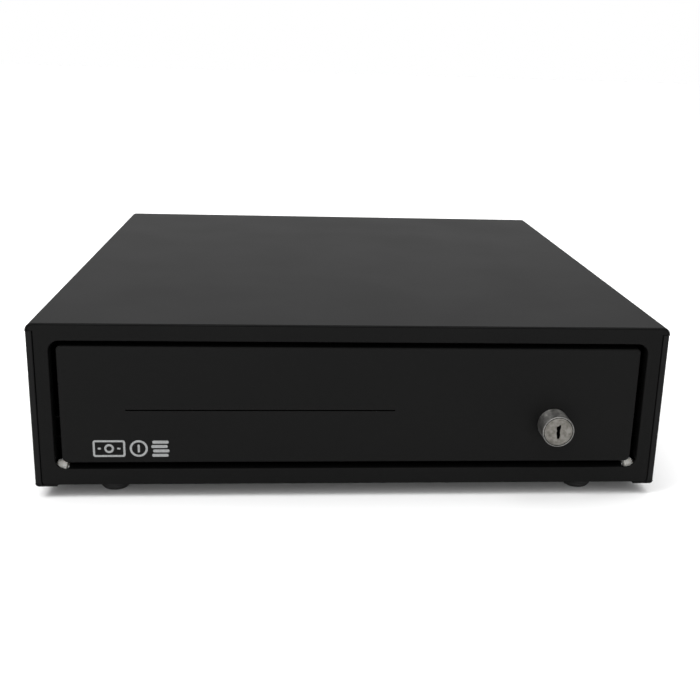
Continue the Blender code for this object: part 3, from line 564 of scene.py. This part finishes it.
def extruded(outlines, along, start, stop):
    """Filled outlines pushed along an axis. Inner outlines are holes.
    Outline axes: (x, y) for Z, (x, z) for Y and (y, z) for X."""
    if isinstance(outlines[0][0], (int, float)):
        outlines = [outlines]
    curve = bpy.data.curves.new("outline", "CURVE")
    curve.dimensions = "2D"
    curve.fill_mode = "BOTH"
    curve.extrude = abs(stop - start) / 2 * MM
    for outline in outlines:
        spline = curve.splines.new("POLY")
        spline.points.add(len(outline) - 1)
        for point, (u, v) in zip(spline.points, outline):
            point.co = (u * MM, v * MM, 0, 1)
        spline.use_cyclic_u = True
    holder = bpy.data.objects.new("outline", curve)
    SCENE.collection.objects.link(holder)
    mesh = evaluated(holder)
    bpy.data.objects.remove(holder, do_unlink=True)
    middle = (start + stop) / 2 * MM
    shift = {"Z": (0, 0, middle), "Y": (0, middle, 0), "X": (middle, 0, 0)}[along]
    mesh.transform(Matrix.Translation(shift) @ AXES[along])
    return tidy(mesh)


def combined(mesh, others, operation):
    """The mesh with others cut from it or joined to it."""
    body = bpy.data.objects.new("body", mesh)
    SCENE.collection.objects.link(body)
    tools = []
    for other in others:
        tool = bpy.data.objects.new("tool", other)
        SCENE.collection.objects.link(tool)
        tools.append(tool)
        step = body.modifiers.new("Boolean", "BOOLEAN")
        step.operation = operation
        step.solver = "EXACT"
        step.object = tool
    made = evaluated(body)
    for obj in (body, *tools):
        bpy.data.objects.remove(obj, do_unlink=True)
    return made


def cut(mesh, *others):
    return combined(mesh, others, "DIFFERENCE")


def joined(mesh, *others):
    return combined(mesh, others, "UNION")


def together(*meshes):
    """Several shells as one mesh."""
    bm = bmesh.new()
    for mesh in meshes:
        bm.from_mesh(mesh)
    made = bpy.data.meshes.new("shells")
    bm.to_mesh(made)
    bm.free()
    return made


def lathe(profile, along, segments=72):
    """A round mesh: profile holds (radius, height). Height runs up along Z, towards -Y for Y
    and along +X for X. A profile that starts and ends off the axis closes through its bore."""
    points, rings, faces = [], [], []
    for r, h in profile:
        if r < 1e-6:
            rings.append([len(points)])
            points.append((0, 0, h * MM))
            continue
        rings.append([len(points) + k for k in range(segments)])
        points += [(r * MM * math.cos(2 * math.pi * k / segments),
                    r * MM * math.sin(2 * math.pi * k / segments), h * MM)
                   for k in range(segments)]
    pairs = list(zip(rings, rings[1:]))
    if profile[0][0] > 1e-6 and profile[-1][0] > 1e-6:
        pairs.append((rings[-1], rings[0]))
    for a, b in pairs:
        for k in range(segments):
            loop = [a[k % len(a)], a[(k + 1) % len(a)], b[(k + 1) % len(b)], b[k % len(b)]]
            face = list(dict.fromkeys(loop))
            if len(face) > 2:
                faces.append(face)
    mesh = bpy.data.meshes.new("turned")
    mesh.from_pydata(points, [], faces)
    mesh.transform(TURNS[along])
    return tidy(mesh)


def eased(profile, radius, steps=4):
    """A lathe profile whose corners are rounded a little, except its two ends."""
    count = len(profile)
    closed = profile[0][0] > 1e-6 and profile[-1][0] > 1e-6
    radii = []
    for i in range(count):
        if not closed and i in (0, count - 1):
            radii.append(0)
            continue
        here = Vector(profile[i])
        reach = min((Vector(profile[i - 1]) - here).length,
                    (Vector(profile[(i + 1) % count]) - here).length)
        a = (Vector(profile[i - 1]) - here).normalized()
        b = (Vector(profile[(i + 1) % count]) - here).normalized()
        half = math.acos(max(-1.0, min(1.0, a.dot(b)))) / 2
        straight = half > math.radians(88)
        radii.append(0 if straight else min(radius, 0.45 * reach * math.tan(half)))
    return fillet(profile, radii, steps, closed=closed)


def tube(points, radius, sides=5):
    """A round wire along points. Sides is the curve's bevel resolution."""
    curve = bpy.data.curves.new("wire", "CURVE")
    curve.dimensions = "3D"
    curve.bevel_depth = radius * MM
    curve.bevel_resolution = sides
    curve.use_fill_caps = True
    spline = curve.splines.new("POLY")
    spline.points.add(len(points) - 1)
    for point, p in zip(spline.points, points):
        point.co = (p[0] * MM, p[1] * MM, p[2] * MM, 1)
    holder = bpy.data.objects.new("wire", curve)
    SCENE.collection.objects.link(holder)
    mesh = evaluated(holder)
    bpy.data.objects.remove(holder, do_unlink=True)
    return tidy(mesh)


def loft(rings):
    """Quads between closed rings of points, with both ends filled."""
    points = [Vector(p) * MM for ring in rings for p in ring]
    size = len(rings[0])
    faces = [list(range(size)), [len(points) - 1 - k for k in range(size)]]
    for a in range(len(rings) - 1):
        b = a + 1
        for k in range(size):
            n = (k + 1) % size
            faces.append([a * size + k, a * size + n, b * size + n, b * size + k])
    mesh = bpy.data.meshes.new("loft")
    mesh.from_pydata([tuple(p) for p in points], [], faces)
    return tidy(mesh)


def rolled_edge(mesh, radius, half, low, high):
    """Rounds the sharp edges in the front plane, within the half width and the two heights."""
    bm = bmesh.new()
    bm.from_mesh(mesh)
    bmesh.ops.dissolve_limit(bm, angle_limit=math.radians(0.2), verts=bm.verts, edges=bm.edges)

    def inside(edge):
        return all(abs(v.co.y - FRONT * MM) < 1e-6 and abs(v.co.x) < half * MM
                   and low * MM < v.co.z < high * MM for v in edge.verts)

    def sharp(edge):
        return len(edge.link_faces) == 2 and edge.calc_face_angle() > math.radians(60)

    edges = [edge for edge in bm.edges if inside(edge) and sharp(edge)]
    bmesh.ops.bevel(bm, geom=edges, offset=radius * MM, segments=6, profile=0.5,
                    affect="EDGES")
    bm.to_mesh(mesh)
    bm.free()
    return mesh


# ---- finishing ----
BREAK_ANGLE = math.radians(35)
# Painted shade: the rails and the lock keeper stand behind the gap round the drawer front, which is
# dark all the way in, and are blackened instead of their own finish.
PAINTED_SHADE_LOOK = {name: "dark_steel" for name in ("left_rail", "right_rail", "lock_keeper")}


def soften(obj, edge):
    """Breaks the sharp edges and keeps flat faces flat."""
    if edge:
        bevel = obj.modifiers.new("Edges", "BEVEL")
        bevel.width = edge * MM
        bevel.segments = 2
        bevel.limit_method = "ANGLE"
        bevel.angle_limit = BREAK_ANGLE
    normals = obj.modifiers.new("Normals", "WEIGHTED_NORMAL")
    normals.keep_sharp = True


def piece(name, mesh, slot, body, replaced=(), at=(0, 0, 0), edge=0.0, look=None):
    """A new visible piece that rides on a body, where it has one, and stands for CAD nodes."""
    mesh.name = name
    mesh.materials.clear()
    mesh.materials.append(look or LOOKS[slot])
    for poly in mesh.polygons:
        poly.use_smooth = True
        poly.material_index = 0
    obj = bpy.data.objects.new(name, mesh)
    obj.location = Vector(at) * MM
    SCENE.collection.objects.link(obj)
    soften(obj, edge)
    if body:
        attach(obj, body)
    if replaced:
        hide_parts(*([replaced] if isinstance(replaced, str) else replaced))
    return obj


def finish_node(node, edge):
    """A CAD node that stays: welded, with its edges broken, and in its real finish, except the
    nodes blackened as painted shade behind the drawer's gap.
    """
    mesh = node.data
    for attribute in ("custom_normal", "sharp_edge", "sharp_face"):
        if attribute in mesh.attributes:
            mesh.attributes.remove(mesh.attributes[attribute])
    for poly in mesh.polygons:
        poly.use_smooth = True
    slot = PAINTED_SHADE_LOOK.get(node.name, mesh.materials[0].name.split(".")[0])
    node.material_slots[0].material = LOOKS[slot]
    weld = node.modifiers.new("Weld", "WELD")
    weld.merge_threshold = WELD
    dissolve = node.modifiers.new("Flat", "DECIMATE")
    dissolve.decimate_type = "DISSOLVE"
    dissolve.angle_limit = math.radians(0.4)
    soften(node, edge)


# ---- sheet-metal shell ----
COVER_LO, COVER_HI = box_of("top_cover")
FRONT, BACK = COVER_LO.y, COVER_HI.y
HALF, UNDER, TOP = COVER_HI.x, COVER_LO.z, COVER_HI.z
TOP_BEND, FOOT_BEND = 5.0, 2.6          # radii along the top and the bottom edges
FOOT_EDGE = 191.0                       # where the bottom flanges end
SCREWS = [middle_of(f"cover_screw_{k}") for k in (1, 2, 3, 4)]
SCREW_HOLE = 1.9                        # radius
HEM_LOW, HEM_HIGH, HEM_DEEP, HEM_WIDE = 10.1, 112.6, 12.0, 4.1
HEM_NOSE, HEM_LAP = 1.4, 4.0            # depth of the fold, and of what it shares with the side
HEM_BENDS = [0, 1.2, 1.0, 0, 0, 0.4, 0.4, 0]


def build_cover():
    """One sheet bent over the top, down both sides and in under the base, hemmed at the front."""
    path = [(-FOOT_EDGE, UNDER), (-HALF, UNDER), (-HALF, TOP), (HALF, TOP), (HALF, UNDER),
            (FOOT_EDGE, UNDER)]
    bends = [0, FOOT_BEND, TOP_BEND, TOP_BEND, FOOT_BEND, 0]
    sheet = extruded(bent_sheet(path, bends, side=-1.0, steps=14), "Y", FRONT, BACK)
    holes = [extruded(disc(s.x, s.y, SCREW_HOLE), "Z", UNDER - 3, UNDER + 3) for s in SCREWS]
    hems = []
    nose, deep = FRONT + HEM_NOSE, FRONT + HEM_DEEP
    for side in (-1, 1):
        u0, u1 = sorted((side * (HALF - SHEET - 0.3), side * (HALF + 2)))
        holes.append(extruded(box_outline(u0, u1, FRONT - 2, nose), "Z", HEM_LOW, HEM_HIGH))
        outer, leaf, thick = side * HALF, side * (HALF - HEM_WIDE), side * SHEET
        fold = [(outer, FRONT + HEM_LAP), (outer, FRONT), (leaf, FRONT), (leaf, deep),
                (leaf + thick, deep), (leaf + thick, nose), (outer - thick, nose),
                (outer - thick, FRONT + HEM_LAP)]
        hems.append(extruded(fillet(fold, HEM_BENDS), "Z", HEM_LOW, HEM_HIGH))
        # the end of the bottom flange, under the hem
        u0, u1 = sorted((side * (HALF - 0.9), leaf))
        hems.append(extruded(box_outline(u0, u1, FRONT + 0.5, deep), "Z", UNDER + 0.5,
                             HEM_LOW + 0.4))
    sheet = joined(cut(sheet, *holes), *hems)
    piece("cover_shell", sheet, "painted_shell", "cabinet", "top_cover", edge=0.18)


OPENING_HALF, OPENING_LOW, OPENING_HIGH, OPENING_CORNER = 191.7, 20.0, 106.5, 7.0
PLATE_HALF, PLATE_STEP = 200.25, 112.9      # between the hems, and where it widens above them
LIP_DEEP, LIP_ROLL = 8.0, 0.7
NOTCH = (183.8, 193.4, 13.0, 25.7)          # room for a roller: near and far x, low and high z
FRAME_FLANGES = ((170, 11.0), (185, 114.7))     # half width and height of each
FLANGE_THICK = 1.2


def build_frame():
    """The plate round the opening, rolled back into a lip, with a flange at the top and base."""
    lo, hi = box_of("front_frame")
    ear = fillet([(-PLATE_HALF, lo.z), (PLATE_HALF, lo.z), (PLATE_HALF, PLATE_STEP),
                  (hi.x, PLATE_STEP + 0.1), (hi.x, hi.z), (lo.x, hi.z),
                  (lo.x, PLATE_STEP + 0.1), (-PLATE_HALF, PLATE_STEP)],
                 [2, 2, 0, 0, 3.6, 3.6, 0, 0])

    def around(off):
        return box_outline(-OPENING_HALF - off, OPENING_HALF + off, OPENING_LOW - off,
                           OPENING_HIGH + off, OPENING_CORNER + off)

    beyond = box_outline(-HALF, HALF, 0, TOP + 5)
    cuts = [extruded([beyond, around(SHEET)], "Y", FRONT + SHEET, FRONT + 20)]
    near, far, low, high = NOTCH
    for side in (-1, 1):
        u0, u1 = sorted((side * near, side * far))
        cuts.append(extruded(box_outline(u0, u1, low, high), "Y", FRONT + 1.2, FRONT + 20))
    flanges = [extruded(box_outline(-w, w, FRONT + 0.7, FRONT + 14, [0, 0, 3, 3]), "Z", z,
                        z + FLANGE_THICK) for w, z in FRAME_FLANGES]
    mesh = cut(extruded([ear, around(0)], "Y", FRONT, FRONT + LIP_DEEP), *cuts)
    mesh = rolled_edge(joined(mesh, *flanges), LIP_ROLL, OPENING_HALF + 0.1, OPENING_LOW - 1,
                       OPENING_HIGH + 0.1)
    # the shell's paint, darkened as painted shade
    piece("frame_plate", mesh, "painted_shell", "cabinet", "front_frame", edge=0.16,
          look=FRAME_SHADED_PAINT)


PAN_CORNERS = [4, 4, 2.5, 2.5]              # lower, then upper
PAN_BEND, PAN_RIM, PAN_STEPS = 1.5, 0.15, 8
MEDIA_SLOT = (-146.0, 27.0, 60.1, 60.9)     # left, right, low and high
LOCK_HOLE = 9.7                             # radius


def build_drawer_front():
    """A shallow pan with rolled edges, the media slot and the hole for the lock."""
    lo, hi = box_of("drawer_front")

    def around(shrink, y):
        return [(x, y, z) for x, z in box_outline(lo.x + shrink, hi.x - shrink, lo.z + shrink,
                                                  hi.z - shrink,
                                                  [max(0.35, c - shrink) for c in PAN_CORNERS])]

    rings = []
    for k in range(PAN_STEPS + 1):
        turn = math.pi / 2 * k / PAN_STEPS
        rings.append(around(PAN_BEND * (1 - math.sin(turn)),
                            FRONT + PAN_BEND * (1 - math.cos(turn))))
    rings += [around(0.0, hi.y - PAN_RIM), around(PAN_RIM, hi.y), around(SHEET - PAN_RIM, hi.y),
              around(SHEET, hi.y - PAN_RIM), around(SHEET, FRONT + PAN_BEND),
              around(SHEET + 0.5, FRONT + SHEET)]
    lock = middle_of("lock_body")
    slot = box_outline(*MEDIA_SLOT, 0.38)
    mesh = cut(loft(rings), extruded(slot, "Y", FRONT - 2, FRONT + 3),
               extruded(disc(lock.x, lock.z, LOCK_HOLE, 64), "Y", FRONT - 2, FRONT + 3))
    piece("drawer_panel", mesh, "painted_front", "drawer", "drawer_front", edge=0.22)


INK_THICK, INK_SUNK = 0.05, 0.1             # in front of the paint and in it
PRINT_LEFT, PRINT_LOW, PRINT_HIGH = -167.3, 28.6, 40.1
STROKE = 1.3
STACK_LEANS = (0.0, 0.7, -0.4, 0.3)


def build_print():
    """A generic printed mark: a banknote, a coin and a stack of coins. No lettering."""
    low, high, x = PRINT_LOW, PRINT_HIGH, PRINT_LEFT
    mid = (low + high) / 2
    coin = (high - low) / 2
    shapes = [
        [box_outline(x, x + 20.5, low, high, 1.6),
         box_outline(x + STROKE, x + 20.5 - STROKE, low + STROKE, high - STROKE, 0.7)],
        [disc(x + 10.25, mid, 3.1), disc(x + 10.25, mid, 1.7)],
        [box_outline(x + 3.0, x + 5.2, mid - STROKE / 2, mid + STROKE / 2, 0.5)],
        [box_outline(x + 15.3, x + 17.5, mid - STROKE / 2, mid + STROKE / 2, 0.5)],
        [disc(x + 29.0, mid, coin), disc(x + 29.0, mid, coin - 1.4)],
        [box_outline(x + 28.3, x + 29.7, mid - 2.7, mid + 2.7, 0.5)],
    ]
    for k, lean in enumerate(STACK_LEANS):
        z = low + k * 3.05
        shapes.append([box_outline(x + 37.4 + lean, x + 47.8 + lean, z, z + 2.05, 0.9)])
    mesh = together(*[extruded(shape, "Y", FRONT - INK_THICK, FRONT + INK_SUNK)
                      for shape in shapes])
    piece("front_print", mesh, "painted_front", "drawer", look=INK)


# ---- lock ----
THREADS = 15
KEYWAY = [(1.3, 4.8), (0.2, 4.8), (0.0, 4.1), (-1.5, 3.7), (-1.5, 1.6), (-1.0, 0.8), (-1.5, -0.5),
          (-1.1, -2.7), (-0.7, -4.8), (0.7, -4.8), (1.3, -2.3), (1.0, -1.1), (1.0, 1.3), (1.3, 2.4)]


def build_lock():
    """A threaded barrel with a rim, and the turning plug in it with its keyway."""
    lock = middle_of("lock_body")
    at = (lock.x, FRONT, lock.z)
    barrel = [(9.65, 10.8), (9.65, 14.85), (9.8, 15.0), (10.0, 15.0), (10.32, 14.86), (10.45, 14.5),
              (10.45, 0.55), (10.2, 0.3), (9.2, 0.3), (9.2, -1.6)]
    for k in range(THREADS):
        barrel += [(8.85, -2.0 - k), (9.2, -2.5 - k)]
    barrel += [(8.8, -18.0), (6.4, -18.0), (6.4, 10.8)]
    piece("lock_barrel", lathe(barrel, "Y", 96), "nickel_lock", "drawer", "lock_body", at,
          look=BARREL)

    face = [(0, 14.93), (8.05, 14.93), (8.2, 14.75), (8.42, 14.75), (8.55, 14.93), (8.85, 14.93),
            (9.2, 14.8), (9.35, 14.5), (9.35, 11.1), (6.1, 11.1), (6.1, -18.7), (3.0, -18.7),
            (3.0, -19.6), (0, -19.6)]
    keyway = extruded(fillet(KEYWAY, 0.18, 3), "Y", -16, -2)
    plug = cut(lathe(face, "Y", 96), keyway)
    piece("lock_face", plug, "nickel_lock", "key", "lock_plug", at, edge=0.07)


# ---- feet, rollers and screws: half profiles as (radius, height) ----
FOOT = [(0, 13.4), (2.1, 13.4), (3.5, 11.2), (3.6, 10.9), (2.8, 10.7), (2.8, 9.0), (9.2, 9.0),
        (9.75, 8.4), (9.9, 5.6), (9.85, 4.3), (9.6, 4.2), (9.6, 3.9), (9.8, 3.8), (9.7, 2.2),
        (8.4, 0.5), (6.8, 0.02), (4.9, 0.02), (4.5, 0.5), (0, 0.5)]
FRONT_TYRE = [(2.5, 3.1), (3.3, 3.1), (3.4, 2.7), (4.2, 2.7), (4.3, 3.1), (4.9, 3.1), (5.5, 2.5)]
REAR_TYRE = [(2.4, 2.1), (3.6, 2.1), (3.7, 1.8), (4.6, 1.8), (4.7, 2.1), (5.4, 2.1), (6.0, 1.6)]
SCREW = [(0, 6.02), (1.3, 6.03), (2.2, 6.2), (2.75, 6.7), (3.0, 7.4), (3.0, 7.7), (1.5, 7.7),
         (1.5, 12.3), (1.2, 12.6), (0, 12.6)]
CROSS_LONG, CROSS_WIDE, CROSS_DEEP = 1.6, 0.32, 7.0     # the screw's recess, half sizes and top


def build_feet():
    for corner in ("front_left", "front_right", "rear_left", "rear_right"):
        name = f"foot_{corner}"
        middle = middle_of(name)
        piece(f"bumper_{corner}", lathe(eased(FOOT, 0.5), "Z"), "rubber", "cabinet", name,
              (middle.x, middle.y, 0))


def build_rollers():
    for side in ("left", "right"):
        for end, profile in (("front", FRONT_TYRE), ("rear", REAR_TYRE)):
            whole = profile + [(r, -h) for r, h in reversed(profile)]
            node = f"{side}_{end}_roller"
            piece(f"{side}_{end}_wheel_tyre", lathe(eased(whole, 0.25), "X"), "roller_nylon",
                  f"{side}_{end}_wheel", node, middle_of(node))


def build_screws():
    a, b = CROSS_LONG, CROSS_WIDE
    cross = [extruded(box_outline(-u, u, -v, v, 0.2, 3), "Z", 5, CROSS_DEEP)
             for u, v in ((a, b), (b, a))]
    screw = cut(lathe(SCREW, "Z", 48), *cross)
    for k, s in enumerate(SCREWS, 1):
        piece(f"shell_screw_{k}", screw.copy(), "zinc_small", "cabinet", f"cover_screw_{k}",
              (s.x, s.y, 0), edge=0.08)


# ---- springs and lead ----
def coil(radius, start, stop, turns, along, wire, steps=36, closed_ends=1.0):
    """Points of a helix about X or Y through the origin, with close turns at both ends."""
    total = int(turns * steps)
    tight = wire * 2.05
    free = (stop - start) - math.copysign(2 * closed_ends * tight, stop - start)
    active = turns - 2 * closed_ends
    points, run = [], start
    for k in range(total + 1):
        turn = k / steps
        ang = 2 * math.pi * turn
        c, s = radius * math.cos(ang), radius * math.sin(ang)
        points.append((run, c, s) if along == "X" else (c, run, s))
        ends = turn < closed_ends or turn > turns - closed_ends
        pitch = math.copysign(tight, stop - start) if ends else free / active
        run += pitch / steps
    return points


def smooth_path(stops, steps):
    """Points of a smooth curve through the stops."""
    pts = [Vector(p) for p in stops]
    pts = [pts[0] * 2 - pts[1]] + pts + [pts[-1] * 2 - pts[-2]]
    out = []
    for i in range(1, len(pts) - 2):
        a, b, c, d = pts[i - 1:i + 3]
        for k in range(steps):
            t = k / steps
            ease = (c - a) * min(1.0, (c - b).length / max((c - a).length, 0.01)) * 0.5
            lead = (d - b) * min(1.0, (c - b).length / max((d - b).length, 0.01)) * 0.5
            h1, h2 = 2 * t ** 3 - 3 * t ** 2 + 1, -2 * t ** 3 + 3 * t ** 2
            h3, h4 = t ** 3 - 2 * t ** 2 + t, t ** 3 - t ** 2
            out.append(tuple(b * h1 + c * h2 + ease * h3 + lead * h4))
    out.append(tuple(pts[-2]))
    return out


LEAD_ROUTE = [(-60.0, 197.4, 30.0), (-56.0, 195.0, 22.0), (-40.0, 197.0, 14.6),
              (0.0, 197.6, 14.2), (150.0, 197.6, 14.2), (181.0, 197.6, 14.6),
              (187.0, 200.0, 24.0), (187.0, 205.0, 44.0), (182.0, 205.9, 55.0),
              (174.5, 205.9, 56.4), (169.0, 205.9, 54.1)]
LEAD_RADIUS = 1.2
EJECTOR_RADIUS, EJECTOR_WIRE = 6.0, 0.8     # both wires are radii too
LATCH_RADIUS, LATCH_WIRE = 4.9, 0.45


def build_springs():
    """The ejector spring, and the latch spring, which stretches between cabinet and plunger."""
    middle = middle_of("eject_spring")
    lo, hi = box_of("eject_spring")
    wire = EJECTOR_WIRE
    points = coil(EJECTOR_RADIUS, lo.y + wire, hi.y - wire, 8.0, "Y", wire)
    piece("ejector_coil", tube(points, wire), "spring_steel", "cabinet", "eject_spring",
          (middle.x, 0, middle.z))

    middle = middle_of("latch_spring")
    lo, hi = box_of("latch_spring")
    wire = LATCH_WIRE
    points = coil(LATCH_RADIUS, lo.x + wire, hi.x - wire, 4.0, "X", wire, closed_ends=0.75)
    spring = piece("plunger_coil", tube(points, wire), "spring_steel", None, "latch_spring",
                   (0, middle.y, middle.z))
    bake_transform(spring)


def build_lead():
    piece("coil_lead", tube(smooth_path(LEAD_ROUTE, 12), LEAD_RADIUS), "lead_sleeve", "cabinet",
          "solenoid_lead")


# ---- solenoid and connector ----
SPOOL_RADIUS, SPOOL_FLANGE, SPOOL_BORE = 4.5, 6.9, 4.0
WINDING_RADIUS = 6.35
FLANGE_WIDE = 1.2


def build_solenoid():
    """The taped winding on its spool."""
    lo, hi = box_of("solenoid_coil")
    centre = (lo + hi) / 2
    half = (hi.x - lo.x) / 2
    room = half - FLANGE_WIDE
    wound = room - 0.1
    winding = [(WINDING_RADIUS, wound), (WINDING_RADIUS, -wound), (SPOOL_RADIUS + 0.1, -wound),
               (SPOOL_RADIUS + 0.1, wound)]
    piece("coil_winding", lathe(winding, "X"), "coil_tape", "cabinet", "solenoid_coil", centre)
    spool = [(SPOOL_FLANGE, half), (SPOOL_FLANGE, room), (SPOOL_RADIUS, room),
             (SPOOL_RADIUS, -room), (SPOOL_FLANGE, -room), (SPOOL_FLANGE, -half),
             (SPOOL_BORE, -half), (SPOOL_BORE, half)]
    piece("coil_bobbin", lathe(eased(spool, 0.2), "X"), "coil_tape", "cabinet", at=centre,
          look=BOBBIN)


CONTACTS, CONTACT_PITCH = 6, 1.2
CONTACT_BEND = [(203.4, 26.2), (205.6, 26.6), (209.0, 28.6), (212.2, 27.2), (213.2, 25.6)]


def build_contacts():
    """Sprung contact wires in the socket's mouth."""
    centre = middle_of("rj_socket").x
    wires = []
    for k in range(CONTACTS):
        x = centre + (k - (CONTACTS - 1) / 2) * CONTACT_PITCH
        wires.append(tube(smooth_path([(x, y, z) for y, z in CONTACT_BEND], 5), 0.22, 2))
    piece("socket_contacts", together(*wires), "switch_plastic", "cabinet", look=GOLD)


# ---- note clips: (y, z) from the clips' shaft ----
CLIP_SHAFT = middle_of("clip_shaft")
CLIP_STRIP = [(4.0, 6.2), (-4.0, 6.2), (-60.0, -38.0), (-67.0, -38.5), (-73.0, -34.0)]
CLIP_HALF, CLIP_THICK = 14.0, 1.6
CLIP_EAR = [(6.0, 0.0), (3.5, 6.0), (-6.0, 4.4), (-10.0, 2.0), (-4.6, -3.4), (0, -5.6),
            (4.6, -3.4)]
EAR_INNER, EAR_OUTER, EAR_BORE = 10.4, 13.2, 2.9
CLIP_WIRE = 0.55                            # radius


def build_clips():
    """Four strips, each with two ears on the shaft and a coil round it between them."""
    strip = bent_sheet(CLIP_STRIP, [0, 8, 6, 5, 0], thick=CLIP_THICK)
    ear = fillet(CLIP_EAR, [2, 1, 1, 1, 2, 2, 2], 8)
    bore = disc(0, 0, EAR_BORE, 40)
    mesh = joined(extruded(strip, "X", -CLIP_HALF, CLIP_HALF),
                  extruded([ear, bore], "X", -EAR_OUTER, -EAR_INNER),
                  extruded([ear, bore], "X", EAR_INNER, EAR_OUTER))
    points = coil(3.6, -7.2, 6.8, 12.0, "X", CLIP_WIRE, steps=24)
    for k in (1, 2, 3, 4):
        at = (middle_of(f"note_clip_{k}").x, CLIP_SHAFT.y, CLIP_SHAFT.z)
        piece(f"clip_arm_{k}", mesh.copy(), "clip_plastic", f"clip_{k}", f"note_clip_{k}", at,
              edge=0.35)
        piece(f"clip_coil_{k}", tube(points, CLIP_WIRE, 3), "spring_steel", "drawer",
              f"clip_spring_{k}", at)


# ---- CAD nodes that stay ----
EDGE = 0.18
NODE_EDGE = {"till_insert": 0.5, "coin_tray": 0.4, "microswitch_body": 0.3, "rj_socket": 0.25,
             "left_rail_stop": 0.5, "right_rail_stop": 0.5, "lock_nut": 0.3}


def finish_nodes():
    for node in NODES.values():
        if not node.hide_render:
            finish_node(node, NODE_EDGE.get(node.name, EDGE))


# ---- the whole scene ----
add_camera()
add_studio()
build_cover()
build_frame()
build_drawer_front()
build_print()
build_lock()
build_feet()
build_rollers()
build_screws()
build_springs()
build_lead()
build_solenoid()
build_contacts()
build_clips()
finish_nodes()
